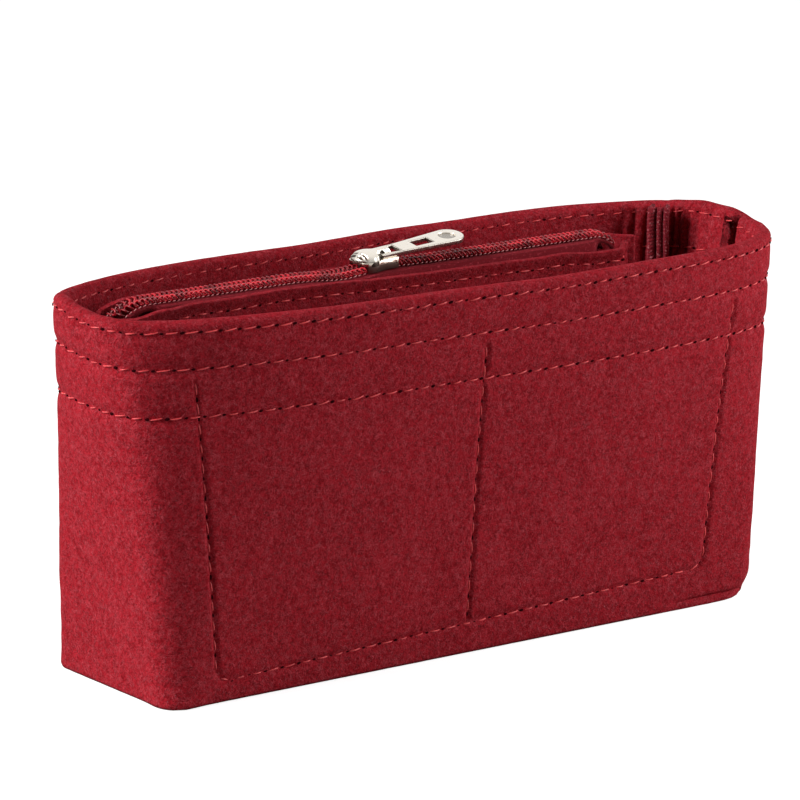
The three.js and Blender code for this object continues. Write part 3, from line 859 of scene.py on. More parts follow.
@dataclass(frozen=True)
class BoxForm:
    """The outer form of the felt box: a rounded rectangle that opens to an oval rim."""

    base_length: float = 196.0
    base_depth: float = 54.0
    base_corner: float = 8.0
    rim_length: float = 218.0
    rim_depth: float = 71.0
    height: float = 100.0
    squareness: float = 3.1
    flare: float = 1.35
    taper: float = 0.1
    felt: float = 2.4
    foot: float = 2.45
    unevenness: float = 0.45
    even_foot: float = 30.0
    nap_unevenness: float = 0.13
    nap_grain: float = 3.4
    pull_depths: tuple[tuple[float, float], ...] = ((2.8, 0.3), (12.4, 0.7), (24.8, 0.7))
    pull_width: float = 1.7
    stitch_pitch: float = 5.2
    seam_turn: float = 1.0
    lifts: tuple[tuple[float, float, float], ...] = (
        (1.0, 0.55, 0.3), (0.5, 1.9, 0.42), (7.95, 1.5, 0.3), (3.45, 1.9, 0.55), (2.7, 0.5, 0.5),
    )
    lift_waves: float = 0.5
    lift_start: float = 62.0
    corner_tucks: tuple[tuple[float, float, float], ...] = ((7.0, 2.2, 7.0), (5.0, -1.3, 6.0))
    tuck_height: float = 7.0
    end_fullness: float = 0.9
    end_reach: float = 1.1
    end_height: float = 85.0

    @cached_property
    def base_quarter(self) -> Quarter:
        """The base outline's quarter."""
        far, wide, radius, steps = self.base_length / 2, self.base_depth / 2, self.base_corner, 16
        points = [Vector((far, 0.0))]
        for step in range(steps + 1):
            angle = step / steps * math.pi / 2
            points.append(Vector((
                far - radius + radius * math.cos(angle), wide - radius + radius * math.sin(angle)
            )))
        points.append(Vector((0.0, wide)))
        return Quarter(tuple(points))

    @cached_property
    def rim_quarter(self) -> Quarter:
        """The rim outline's quarter."""
        power, steps = 2 / self.squareness, 240
        points = []
        for step in range(steps + 1):
            angle = step / steps * math.pi / 2
            points.append(Vector((
                self.rim_length / 2 * max(math.cos(angle), 0.0) ** power,
                self.rim_depth / 2 * math.sin(angle) ** power,
            )))
        return Quarter(tuple(points))

    @cached_property
    def side_arc(self) -> float:
        """The base outline's length for one turn along a long side."""
        return self.base_quarter.lengths[-1] - self.base_quarter.corner

    @cached_property
    def end_arc(self) -> float:
        """The base outline's length for one turn along an end."""
        return self.base_quarter.corner

    def outer(self, turn: float, height: float) -> Vector:
        """Returns the plan point of the outer face.

        Args:
            turn: 0 at the right end's middle, 2 at the back's, 4 at the left end's and 6 at the
                front's, with the corners between them.
            height: The height over the table.
        """
        wrapped = turn % 8
        quadrant = int(wrapped // 2)
        within = wrapped - quadrant * 2
        place = within if quadrant % 2 == 0 else 2 - within
        rise = max(height / self.height, 0.0) ** self.flare
        point = self.base_quarter.at(place).lerp(self.rim_quarter.at(place), rise)
        sign_x = 1 if quadrant in (0, 3) else -1
        sign_y = 1 if quadrant < 2 else -1
        widening = 1 + self.taper * rise * point.x * sign_x / (self.rim_length / 2)
        return Vector((point.x * sign_x, point.y * sign_y * widening))

    def sway(self, turn: float, height: float) -> float:
        """Returns how far the felt stands in from its true form, soft and uneven."""
        wave = self.unevenness * ring_noise(turn, 2.4, 1.6, height / 45)
        return wave * smooth(height / self.even_foot)

    def lift(self, turn: float, height: float) -> float:
        """Returns how far the soft rim stands over its true height."""
        total = self.lift_waves * ring_noise(turn, 4.0, 4.0, 8.0)
        for middle, rise, reach in self.lifts:
            total += rise * bell(turns_from(middle, turn) / reach)
        return total * smooth((height - self.lift_start) / (self.height - self.lift_start))

    def tuck(self, turn: float, height: float) -> float:
        """Returns how far a soft lower corner stands in, or the right end's lower part out."""
        fade = 1 - smooth(height / self.tuck_height)
        full = self.end_fullness * (1 - smooth(abs(turns_from(0, turn)) / self.end_reach))
        total = -full * (1 - smooth(height / self.end_height))
        for middle, depth, reach in self.corner_tucks:
            away = turns_from(middle, turn)
            to_side = (away > 0) == (int(middle) % 4 == 1)
            away *= (self.side_arc if to_side else self.end_arc) / reach
            total += depth * fade * bell(away)
        return total

    def wall(self, turn: float, height: float, inset: float, along: float = 0.0) -> Vector:
        """Returns a point of the wall.

        Args:
            turn: The place round the box.
            height: The height over the table.
            inset: How far in from the outer face.
            along: How far along the face from the turn.
        """
        heading = self.heading(turn, height)
        point = self.outer(turn, height)
        nap = self.nap_unevenness * noise.noise(Vector((*point, height)) / self.nap_grain)
        depth = inset + self.sway(turn, height) + nap + self.tuck(turn, height)
        return Vector((
            point.x - heading.y * depth + heading.x * along,
            point.y + heading.x * depth + heading.y * along,
            height + self.lift(turn, height),
        ))

    def heading(self, turn: float, height: float) -> Vector:
        """Returns the way that the turns run."""
        probe = 0.02
        ahead = self.outer(turn + probe, height) - self.outer(turn - probe, height)
        return ahead.normalized().to_3d()

    def outward(self, turn: float, height: float) -> Vector:
        """Returns the way out of the wall."""
        heading = self.heading(turn, height)
        return Vector((heading.y, -heading.x, 0.0))

    def even_turns(self, height: float, pitch: float) -> list[float]:
        """Returns turns at an even pitch round the outer face.

        Args:
            height: The height of the row.
            pitch: The distance wanted between them, which is fitted to the length.
        """
        steps = 1600
        turns = [step / steps * 8 for step in range(steps + 1)]
        places = even_places(arc_lengths([self.outer(turn, height) for turn in turns]), pitch)
        return [blend(turns[after - 1], turns[after], share) for after, share in places]


@dataclass(frozen=True)
class PocketSeams:
    """The stitched rectangle with a middle line that holds a pocket panel on a long wall."""

    shift: float = 0.0
    half_width: float = 80.0
    top: float = 85.0
    foot_middle: float = 8.5
    foot_rise: float = 2.75
    foot_bend: float = 0.35
    corner: float = 4.5
    depth: float = 0.85
    width: float = 0.72

    @property
    def lines(self) -> tuple[float, float, float]:
        """The three upright lines' places along the base."""
        return self.shift - self.half_width, self.shift, self.shift + self.half_width

    def foot(self, offset: float) -> float:
        """Returns the bottom row's height at a distance along the base from the middle."""
        share = (offset - self.shift) / self.half_width
        return self.foot_middle + self.foot_rise * share - self.foot_bend * share * share

    def outline(self) -> list[Vector]:
        """Returns the rectangle's line: down its left side, along its foot, up its right side."""
        left, _, right = self.lines
        points = [Vector((left, self.top))]
        for side, centre in ((-1, left + self.corner), (1, right - self.corner)):
            for step in range(7):
                angle = (step if side < 0 else 6 - step) / 6 * math.pi / 2
                offset = centre + side * self.corner * math.cos(angle)
                height = self.foot(offset) + self.corner * (1 - math.sin(angle))
                points.append(Vector((offset, height)))
        points.append(Vector((right, self.top)))
        return points

    def pull(self, offset: float, height: float) -> float:
        """Returns how far the seams pull the felt in.

        Args:
            offset: The distance along the base from the wall's middle, towards the right.
            height: The height over the table.
        """
        past_side = abs(offset - self.shift) - self.half_width + self.corner
        past_foot = self.foot(offset) + self.corner - height
        outside = math.hypot(max(past_side, 0.0), max(past_foot, 0.0))
        away = outside + min(max(past_side, past_foot), 0.0)
        frame_line = abs(away - self.corner)
        middle_line = abs(offset - self.shift) if past_foot < self.corner else math.inf
        nearest = min(frame_line, middle_line) / self.width
        return self.depth * bell(nearest) * smooth((self.top + 1 - height) / 2)


@dataclass
class FeltBox:
    """Wall strip, base, pocket panels and the bound closing seam."""

    palette: Palette
    form: BoxForm = BoxForm()
    front_seams: PocketSeams = PocketSeams(shift=-3.0)
    back_seams: PocketSeams = PocketSeams()
    sewing: Needlework = Needlework()
    pocket_sewing: Needlework = Needlework(sink=0.45, rise=0.1, slant=3.0)
    lining: float = 2.0
    sewn_gap: float = 0.3
    hem_foot: float = 71.5
    pocket_mouth: float = 85.5
    pocket_foot: float = 4.0
    pocket_half_width: float = 84.0
    pocket_gape: float = 7.5
    wall_columns: int = 380
    allowance: float = 6.0
    allowance_thickness: float = 2.6
    seam_shift: float = 1.0
    seam_lean: float = 0.7
    lean_middle: float = 91.0
    lean_run: float = 18.0
    lean_start: float = 55.0
    inner_pull: float = 0.8
    stitch_lift: float = 0.14
    pocket_stitch_sink: float = 0.35
    seam_top: float = 98.8
    binding_top: float = 99.7
    binding_leg: float = 4.0
    binding_gap: float = 0.2
    binding_dome: float = 1.8
    ribs: tuple[tuple[float, float, float], ...] = (
        (1.95, 1.12, 1.2), (-0.25, 0.74, 1.15), (-1.95, 0.86, 1.1),
    )
    knit_pitch: float = 0.95
    knit_slope: float = 0.35
    knit_depth: float = 0.1
    folds: tuple[tuple[float, float, float], ...] = (
        (5.0, 1.5, 0.7), (9.4, 1.3, 1.0), (12.8, 0.7, 1.3), (-3.4, 1.3, 0.8), (-6.4, 0.9, 0.9),
        (-10.0, 0.7, 1.2), (-14.5, 0.55, 1.4), (-20.0, 0.4, 1.6),
    )
    folds_reach: float = 36.0
    groove_depth: float = 0.8
    groove_width: float = 0.9
    opened_turns: tuple[float, float] = (6.62, 7.08)
    opened_run: float = 0.14
    crease_depth: float = 0.75
    crease_height: float = 1.3
    overhang_height: float = 5.0
    overhang_foot: float = 0.35
    overhang_bulge: float = 0.15

    def seams(self, side: Side) -> PocketSeams:
        """Returns the pocket seams of a long wall."""
        return self.front_seams if side is Side.FRONT else self.back_seams

    def wall_side(self, turn: float) -> tuple[Side, float] | None:
        """Returns the long wall at a turn and how far along it from its middle, if it is one."""
        wrapped = turn % 8
        if abs(wrapped - 6) < 1:
            return Side.FRONT, (wrapped - 6) * self.form.side_arc
        if abs(wrapped - 2) < 1:
            return Side.BACK, (2 - wrapped) * self.form.side_arc
        return None

    def turn_at(self, side: Side, offset: float) -> float:
        """Returns the turn at a distance along a long wall from its middle."""
        if side is Side.FRONT:
            return 6.0 + offset / self.form.side_arc
        return 2.0 - offset / self.form.side_arc

    def pull(self, turn: float, height: float) -> float:
        """Returns how far all seams pull the outer face in at a place."""
        total = 0.0
        for drop, depth in self.form.pull_depths:
            away = (height - (self.form.height - drop)) / self.form.pull_width
            if abs(away) < 3:
                total += depth * bell(away)
        found = self.wall_side(turn)
        if found:
            total = max(total, self.seams(found[0]).pull(found[1], height))
        return total

    def pucker(self, turn: float, height: float) -> float:
        """Returns how deep the hem's inner layer is folded beside the closing seam."""
        away = turns_from(self.form.seam_turn, turn)
        along = away * (self.form.side_arc if away > 0 else self.form.end_arc)
        if abs(along) > self.folds_reach:
            return 0.0
        along += 0.9 * noise.noise(Vector((along / 9, height / 14, 4.0)))
        depth = sum(deep * bell((along - place) / wide) for place, deep, wide in self.folds)
        return depth * smooth((self.form.height - 0.6 - height) / 3.5)

    def crease(self, turn: float, height: float) -> float:
        """Returns how far the wall's foot stands back from the base where it is open."""
        share = 1 - (height - self.form.foot) / self.crease_height
        if share <= 0:
            return 0.0
        wave = 1 + 0.8 * noise.noise(Vector((turn % 8 * 9, 0.0, 2.0)))
        return self.crease_depth * self.opened(turn) * wave * share * share

    def opened(self, turn: float) -> float:
        """Returns 1 at the front right, where the wall's foot has come off the base, else 0."""
        (start, end), run = self.opened_turns, self.opened_run
        return smooth((turn % 8 - start) / run) * smooth((end - turn % 8) / run)

    def overhang(self, turn: float, height: float) -> tuple[float, float]:
        """Returns how far the wall's nap hangs down over the base's edge, and how far in."""
        closed = 1 - self.opened(turn)
        share = max(1 - (height - self.form.foot) / self.overhang_height, 0.0)
        drop = (self.form.foot - self.overhang_foot) * closed * share * share
        under = max(1 - (height - drop), 0.0)
        return drop, closed * (1 - rounded(under) - self.overhang_bulge * share * share)

    def wall_turns(self) -> list[float]:
        """Returns the wall's columns: even turns, closer together beside every upright seam."""
        turns = [step / self.wall_columns * 8 for step in range(self.wall_columns)]
        fine, least = 0.4 / self.form.side_arc, 0.12 / self.form.side_arc
        for side in Side:
            for line in self.seams(side).lines:
                turns += [self.turn_at(side, line) + step * fine for step in range(-7, 8)]
        turns += [self.form.seam_turn + step * fine for step in range(-7, 36)]
        turns += [self.form.seam_turn - step * 0.6 / self.form.end_arc for step in range(56)]
        return self.thinned(turns, least)

    def wall_heights(self) -> list[float]:
        """Returns the outer skin's rows, closer together where a seam pulls it in."""
        top = self.form.height - self.form.felt
        heights = [blend(self.form.foot, top, step / 52) for step in range(53)]
        heights += [self.form.foot + step * 0.35 for step in range(5)]
        for drop, _ in self.form.pull_depths:
            heights += [self.form.height - drop + step * 0.6 for step in range(-5, 6)]
        heights += [4.0 + step * 0.7 for step in range(14)]
        return self.thinned([height for height in heights if height <= top], 0.3)

    @staticmethod
    def thinned(values: list[float], least: float) -> list[float]:
        """Returns the sorted values without those that lie too close to the one before."""
        kept: list[float] = []
        for value in sorted(values):
            if not kept or value - kept[-1] > least:
                kept.append(value)
        return kept

    def wall_profile(self) -> list[tuple[float, float, float]]:
        """Returns the wall's closed section as inset, height and pull share."""
        form = self.form
        felt, top, foot = form.felt, form.height - form.felt, form.foot
        section = [(felt / 2, foot, 0.0)]
        section += [(0.0, height, 1.0) for height in self.wall_heights()]
        for step in range(1, 12):
            angle = math.pi * (1 - step / 12)
            across, up = math.cos(angle), math.sin(angle)
            section.append((felt + felt * across, top + felt * up, across * -0.5))
        for step in range(23):
            height = blend(top, self.hem_foot + 0.5, step / 22)
            section.append((2 * felt, height, -self.inner_pull))
        section += [(2 * felt - 0.5, self.hem_foot, 0.0), (felt, self.hem_foot, 0.0)]
        for step in range(1, 16):
            section.append((felt, blend(self.hem_foot, foot, step / 15), 0.0))
        return section

    def build_wall(self) -> None:
        """Makes the wall strip, its top folded in as a hem."""
        form, section, turns = self.form, self.wall_profile(), self.wall_turns()

        def place(round_share: float, up: float) -> Vector:
            """Returns a point of the wall's skin."""
            turn = turns[round(round_share * len(turns)) % len(turns)]
            inset, height, share = section[round(up * len(section)) % len(section)]
            if share:
                inset += self.pull(turn, height) * share
            if share > 0:
                drop, rounding = self.overhang(turn, height)
                inset += self.crease(turn, height) + rounding
                height -= drop
            if share < 0:
                inset -= self.pucker(turn, height)
            off_seam = turns_from(form.seam_turn, turn) * form.side_arc / self.groove_width
            if share > 0 and abs(off_seam) < 3:
                inset += self.groove_depth * bell(off_seam)
            return form.wall(turn, height, inset)

        made = Loft(len(turns), len(section), ring=True, tube=True).shape(place)
        Piece("wall", self.palette.wall, "wall_felt", stands_for=("wall_strip",)).publish(made)

    def build_base(self) -> None:
        """Makes the floor panel, its lower edge worn round."""
        made, columns, worn = bmesh.new(), 240, 1.0
        for step in range(columns):
            made.verts.new(self.form.wall(step / columns * 8, 0.0, 0.0) * MM)
        bmesh.ops.contextual_create(made, geom=made.verts)
        raised = bmesh.ops.extrude_face_region(made, geom=made.faces[:])
        lifted = [item for item in raised["geom"] if isinstance(item, bmesh.types.BMVert)]
        bmesh.ops.translate(made, vec=(0, 0, self.form.felt * MM), verts=lifted)
        lower = [edge for edge in made.edges if max(end.co.z for end in edge.verts) < MM / 100]
        bmesh.ops.bevel(
            made, geom=lower, offset=worn * MM, segments=4, profile=0.5, affect="EDGES", material=-1
        )
        bmesh.ops.recalc_face_normals(made, faces=made.faces)
        Piece("base", self.palette.base, "base_felt", stands_for=("base_panel",)).publish(made)

    def pocket_inset(self, offset: float, height: float, seams: PocketSeams) -> float:
        """Returns how far in a pocket panel's outer face lies."""
        from_seam = abs(offset - seams.shift) / seams.half_width
        gape = math.sin(math.pi * from_seam) ** 2 if from_seam < 1 else 0.0
        opening = smooth((height - self.pocket_foot) / (self.pocket_mouth - self.pocket_foot))
        step = (self.form.height - self.hem_foot) / 2
        hem = self.form.felt * smooth((height - self.hem_foot + step) / step)
        return self.form.felt + self.sewn_gap + hem + self.pocket_gape * gape * opening

    def build_pocket(self, side: Side) -> None:
        """Makes one lining panel with two pockets.

        Args:
            side: The long wall that it is sewn to.
        """
        seams = self.seams(side)
        levels, edge, dip_share = 44, 0.45, 0.4

        def place(across: float, up: float) -> Vector:
            """Returns a point of the panel's skin."""
            offset = seams.shift + self.pocket_half_width * (2 * across - 1)
            inner, level = sheet_level(up, levels)
            height = blend(self.pocket_foot, self.pocket_mouth, level)
            inset = self.pocket_inset(offset, height, seams)
            rounding = edge if level in (0, 1) else 0.0
            dip = dip_share * seams.pull(offset, height)
            depth = inset + self.lining - rounding - dip if inner else inset + rounding
            return self.form.wall(self.turn_at(side, offset), height, depth)

        made = Loft(170, 2 * (levels + 1), tube=True, capped=True).shape(place)
        name, node = f"{side.label}_pockets", f"{side.label}_pocket_panel"
        Piece(name, self.palette.lining, "lining_felt", stands_for=(node,)).publish(made)

    def seam_line(self, height: float) -> float:
        """Returns how far the closing seam has crept along the wall."""
        lean = self.seam_lean * math.sin((height - self.lean_middle) / self.lean_run * math.pi)
        return self.seam_shift + lean * smooth((height - self.lean_start) / self.lean_run)

    def build_closing_seam(self) -> None:
        """Makes the turned in ends of the wall strip and the ribbed tape folded over them."""
        form, gap = self.form, 0.1
        half = self.allowance_thickness / 2
        end = 2 * form.felt + self.allowance
        for name, sign in (("left", 1), ("right", -1)):
            corners = [(gap, form.felt / 2), (half, form.felt / 2), (half, end), (gap, end)]

            def place(up: float, around: float) -> Vector:
                """Returns a point of a turned in end."""
                along, inset = corners[round(around * 4) % 4]
                height = blend(form.foot, self.seam_top - 0.8, up)
                along = sign * along + self.seam_line(height)
                return form.wall(form.seam_turn, height, inset, along)

            made = Loft(40, 4, tube=True, capped=True).shape(place)
            Piece(f"seam_end_{name}", self.palette.wall, "wall_felt").publish(made)
        self.build_binding(half + self.binding_gap, end)

    def build_binding(self, inside: float, end: float) -> None:
        """Makes the binding tape, its edge gathered in three ribs.

        Args:
            inside: Half the room between its two legs.
            end: How far in the seam's ends reach.
        """
        form, start, fold = self.form, end - self.binding_leg, end + self.binding_gap
        low, high, bottom = blend(start, end, 0.4), blend(start, end, 0.8), end + 0.12
        rounds = [(2.3, start), (2.5, low), (2.9, high)]
        for centre, half_width, rise in self.ribs:
            for step in range(9):
                angle = math.pi * step / 8
                across, up = half_width * math.cos(angle), rise * math.sin(angle)
                rounds.append((centre + across, fold + up))
        rounds += [(-2.75, high), (-2.5, low), (-2.3, start)]
        knitted = len(rounds)
        rounds += [(-inside, start), (-inside, bottom), (inside, bottom), (inside, start)]

        def place(up: float, around: float) -> Vector:
            """Returns a point of the ribbed tape."""
            row = round(around * len(rounds)) % len(rounds)
            along, inset = rounds[row]
            height = blend(form.foot, self.binding_top, up)
            if row < knitted:
                phase = height / self.knit_pitch + abs(along) * self.knit_slope
                wave = self.knit_depth * math.sin(2 * math.pi * phase)
                along += math.copysign(wave, along)
                inset += wave
            past = max(height - self.binding_top + self.binding_dome, 0.0) / self.binding_dome
            if inset > fold:
                inset = blend(fold, inset, rounded(past))
            return form.wall(form.seam_turn, height, inset, along + self.seam_line(height))

        made = Loft(600, len(rounds), tube=True, capped=True).shape(place)
        slot, node = "binding_tape", "seam_binding"
        Piece("binding", self.palette.binding, slot, stands_for=(node,)).publish(made)

    def rim_rows(self) -> tuple[list[Stitch], list[Stitch]]:
        """Returns the stitches of the hem's rows, outside and inside."""
        form, outside, inside = self.form, [], []
        for drop, _ in form.pull_depths:
            height = form.height - drop
            for turn in form.even_turns(height, form.stitch_pitch):
                pull = self.pull(turn, height)
                along, out = form.heading(turn, height), form.outward(turn, height)
                outside.append(Stitch(form.wall(turn, height, pull - self.stitch_lift), along, out))
                depth = 2 * form.felt - self.inner_pull * pull - self.pucker(turn, height)
                found = self.wall_side(turn)
                over_pocket = found and abs(found[1]) < self.pocket_half_width
                if not (over_pocket and height < self.pocket_mouth):
                    inside.append(Stitch(form.wall(turn, height, depth), along, -out))
        return outside, inside

    def pocket_lines(self, side: Side) -> tuple[list[Stitch], list[Stitch]]:
        """Returns the stitches that hold a pocket panel, outside and inside."""
        form, seams, pitch = self.form, self.seams(side), self.sewing.pitch
        middle = seams.lines[1]
        upright = [Vector((middle, seams.top)), Vector((middle, seams.foot(middle) + 2))]
        outside, inside = [], []
        for spot, run in spaced(seams.outline(), pitch) + spaced(upright, pitch):
            offset, height = spot
            ahead = spot + run
            turn, turn_ahead = self.turn_at(side, offset), self.turn_at(side, ahead.x)
            out = form.outward(turn, height)
            along = form.wall(turn_ahead, ahead.y, 0) - form.wall(turn, height, 0)
            depth = self.pull(turn, height) - self.stitch_lift
            outside.append(Stitch(form.wall(turn, height, depth), along, out))
            inner_face = self.pocket_inset(offset, height, seams) + self.lining
            depth = inner_face - self.pocket_stitch_sink
            inside.append(Stitch(form.wall(turn, height, depth), along, -out))
        return outside, inside

    def sew_up(self) -> None:
        """Makes every visible seam of the felt box."""
        outside, inside = self.rim_rows()
        self.sewing.sew("rim_seams", outside, self.palette)
        self.sewing.sew("rim_seams_inside", inside, self.palette)
        for side in Side:
            name = f"{side.label}_pocket_seams"
            outside, inside = self.pocket_lines(side)
            self.pocket_sewing.sew(name, outside, self.palette)
            self.pocket_sewing.sew(f"{name}_inside", inside, self.palette, "lining_felt")

    def build(self) -> None:
        """Makes the whole felt box."""
        self.build_wall()
        self.build_base()
        for side in Side:
            self.build_pocket(side)
        self.build_closing_seam()
        self.sew_up()


# Zip pouch


@dataclass(frozen=True)
class ChainForm:
    """The zip's path: straight, with both ends curling down into the pouch."""

    centre_y: float = 3.0
    top: float = 98.7
    left_reach: float = 86.0
    right_reach: float = 60.0
    left_radius: float = 13.0
    left_degrees: float = 45.0
    right_radius: float = 7.0
    right_degrees: float = 68.0
    slider_x: float = -13.0
    slider_length: float = 11.5
    post_inset: float = 0.8
    post_length: float = 4.2
    parted: float = 1.0
    open_gap: float = 0.5
    parting_run: float = 26.0
    pitch: float = 1.5
    nose_lead: float = 7.0
    nose_reach: float = 8.0
    nose_sink: float = 0.9
    tail_reach: float = 9.0
    tail_rise: float = 0.2

    @property
    def left_curl(self) -> float:
        """The left curl's length."""
        return self.left_radius * math.radians(self.left_degrees)

    @property
    def straight(self) -> float:
        """The straight run's length."""
        return self.left_reach + self.right_reach

    @property
    def run(self) -> float:
        """The whole chain's length."""
        return self.left_curl + self.straight + self.right_radius * math.radians(self.right_degrees)

    def play(self, x: float) -> float:
        """Returns how far the tilted slider lifts or presses the chain."""
        from_nose = (x - self.slider_x + self.slider_length / 2 + self.nose_lead) / self.nose_reach
        from_tail = (x - self.slider_x - self.slider_length / 2) / self.tail_reach
        return self.tail_rise * bell(from_tail) - self.nose_sink * bell(from_nose)

    def point(self, length: float, lateral: float, rise: float, side: Side) -> Vector:
        """Returns a point of the chain.

        Args:
            length: The distance along the chain from its left end.
            lateral: The distance from the zip's middle line.
            rise: The height over the tape's top face.
            side: The row.
        """
        past = length - self.left_curl - self.straight
        x = -self.left_reach + length - self.left_curl
        z = self.top + rise + self.play(x)
        if length < self.left_curl:
            angle = (self.left_curl - length) / self.left_radius
            x = -self.left_reach - (self.left_radius + rise) * math.sin(angle)
            z = self.top - self.left_radius + (self.left_radius + rise) * math.cos(angle)
        elif past > 0:
            angle = past / self.right_radius
            x = self.right_reach + (self.right_radius + rise) * math.sin(angle)
            z = self.top - self.right_radius + (self.right_radius + rise) * math.cos(angle)
        return Vector((x, self.centre_y + side.value * lateral, z))

    def parting(self, length: float) -> float:
        """Returns how far a row is off the middle line: none where it meshes, past the slider."""
        x = length - self.left_curl - self.left_reach
        start = self.slider_x - self.slider_length / 2 + self.post_inset
        end, half_post = start + self.post_length, self.post_length / 2
        if x > start:
            return self.parted * (1 - smooth((x - end + half_post) / (half_post + self.pitch)))
        opened = 1 - smooth((start - x) / self.parting_run)
        return self.open_gap + (self.parted - self.open_gap) * opened


@dataclass(frozen=True)
class CoilForm:
    """One wound row: thin legs that swell to the heads that mesh."""

    leg_radius: float = 0.23
    head_radius: float = 0.38
    inner: float = -0.3
    outer: float = 2.6
    low: float = 0.02
    high: float = 1.78
    slip: float = 0.11
    steps: int = 14
    sides: int = 6

    @property
    def spans(self) -> tuple[float, float, float, float]:
        """The loop's middle and reach sideways, then upwards."""
        near, far = self.inner + self.head_radius, self.outer - self.leg_radius
        under, over = self.low + self.leg_radius, self.high - self.leg_radius
        return (near + far) / 2, (far - near) / 2, (under + over) / 2, (over - under) / 2


@dataclass
class ZipPouch:
    """The standing pouch: two felt panels, woven tapes and wound coil rows."""

    palette: Palette
    chain: ChainForm = ChainForm()
    coil: CoilForm = CoilForm()
    sewing: Needlework = Needlework(slant=2.0)
    left_reach: float = 91.0
    left_flare: float = 10.5
    flare: float = 1.35
    right_reach_front: float = 71.5
    right_reach_back: float = 76.0
    front_tops: tuple[tuple[float, float], ...] = (
        (-101.5, 96.4), (-94.0, 97.2), (-85.0, 98.4), (-76.0, 99.0), (-43.0, 99.0), (3.5, 97.7),
        (43.0, 97.4), (58.0, 96.3), (71.5, 96.2),
    )
    back_tops: tuple[tuple[float, float], ...] = ((-101.5, 95.2), (-85.0, 98.7), (76.0, 97.2))
    foot: float = 2.7
    end_run: float = 8.0
    belly: float = 1.2
    foot_gap: float = 0.2
    inner_edge: float = 6.1
    edge_flare: float = 0.5
    lining: float = 2.0
    row_drop: float = 3.2
    row_pull: float = 0.35
    row_width: float = 1.2
    wave_depth: float = 0.45
    nap_depth: float = 0.08

    def right_reach(self, side: Side) -> float:
        """Returns how far right a panel reaches."""
        return self.right_reach_front if side is Side.FRONT else self.right_reach_back

    def top(self, x: float, side: Side) -> float:
        """Returns a panel's top height, with the small waves of a cut edge."""
        tops = self.front_tops if side is Side.FRONT else self.back_tops
        height = tops[-1][1]
        for before, after in zip(tops, tops[1:]):
            if x < after[0]:
                share = (x - before[0]) / (after[0] - before[0])
                height = blend(before[1], after[1], smooth(share))
                break
        return height + 0.3 * noise.noise(Vector((x / 14, side.value * 3.0, 0.0)))

    def panel_point(self, along: float, level: float, depth: float, side: Side) -> Vector:
        """Returns a point of a pouch panel.

        Args:
            along: The share of the panel's length from its left end.
            level: The share of its height.
            depth: How far out from the inner face.
            side: Which panel.
        """
        right = self.right_reach(side)
        full_left = -self.left_reach - self.left_flare
        top = self.top(blend(full_left, right, along), side)
        height = blend(self.foot, top, level)
        left = -self.left_reach - self.left_flare * (max(height, 0) / 100) ** self.flare
        x = blend(left, right, along)
        from_end = min(x - left, right - x)
        spread = smooth(from_end / self.end_run)
        belly = self.belly * math.sin(math.pi * min(level / 0.95, 1.0)) ** 1.5
        flared = self.edge_flare * smooth((height - top + 3.0) / 3.0)
        full = self.inner_edge * smooth(level / 0.22) + belly + flared
        wave = self.wave_depth * noise.noise(Vector((x / 24, side.value * 2.0, height / 30)))
        wave *= smooth((height - 10) / 30)
        nap = self.nap_depth * noise.noise(Vector((x, side.value * 9.0, height)) / 4.2)
        lateral = self.foot_gap + full * spread + depth + max(wave, -0.1) * spread + nap * spread
        return Vector((x, self.chain.centre_y + side.value * lateral, height))

    def level_of(self, drop: float, along: float, side: Side) -> float:
        """Returns the level that lies a distance under the panel's top."""
        full_left = -self.left_reach - self.left_flare
        top = self.top(blend(full_left, self.right_reach(side), along), side)
        return 1 - drop / (top - self.foot)

    def build_panel(self, side: Side) -> None:
        """Makes one felt panel with a raw top edge."""
        levels, edge, crowding = 64, 0.3, 1.6

        def place(along: float, up: float) -> Vector:
            """Returns a point of the panel's skin."""
            outer, level = sheet_level(up, levels)
            level = 1 - (1 - level) ** crowding
            rounding = edge if level in (0, 1) else 0.0
            if not outer:
                return self.panel_point(along, level, rounding, side)
            away = (level - self.level_of(self.row_drop, along, side)) * 95 / self.row_width
            dip = self.row_pull * bell(away)
            return self.panel_point(along, level, self.lining - rounding - dip, side)

        made = Loft(230, 2 * (levels + 1), tube=True, capped=True).shape(place)
        name, node = f"pouch_{side.label}", f"pouch_{side.label}_panel"
        Piece(name, self.palette.lining, "lining_felt", stands_for=(node,)).publish(made)
        self.sew_panel(side)

    def sew_panel(self, side: Side) -> None:
        """Makes the row that holds the tape and the rows that close the pouch's ends."""
        stitches, out = [], Vector((0, side.value, 0))
        face, dipped = self.lining, self.lining - 0.3

        def stitch(spot: tuple[float, float], ahead: tuple[float, float], depth: float) -> None:
            """Adds a stitch at a place on the panel, towards another."""
            middle = self.panel_point(*spot, depth, side)
            stitches.append(Stitch(middle, self.panel_point(*ahead, depth, side) - middle, out))

        width = self.left_reach + self.left_flare + self.right_reach(side)
        count = round(width / self.sewing.pitch)
        for step in range(1, count):
            along = (step + 0.3) / count
            level = self.level_of(self.row_drop, along, side)
            stitch((along, level), (along + 0.01, level), dipped)
        for along in (0.022, 0.978):
            for step in range(16):
                level = (6.5 + step * self.sewing.pitch) / 96
                stitch((along, level), (along, level + 0.02), face)
        self.sewing.sew(f"pouch_{side.label}_seams", stitches, self.palette, "lining_felt")

    def build_tape(self, side: Side) -> None:
        """Makes one woven tape, flat under the coil and hanging down inside its panel."""
        chain = self.chain
        top, thick, inner, full_edge, end_edge = -0.14, 0.6, 1.9, 5.8, 3.7
        flap_full, flap_run = 14.0, 4.0

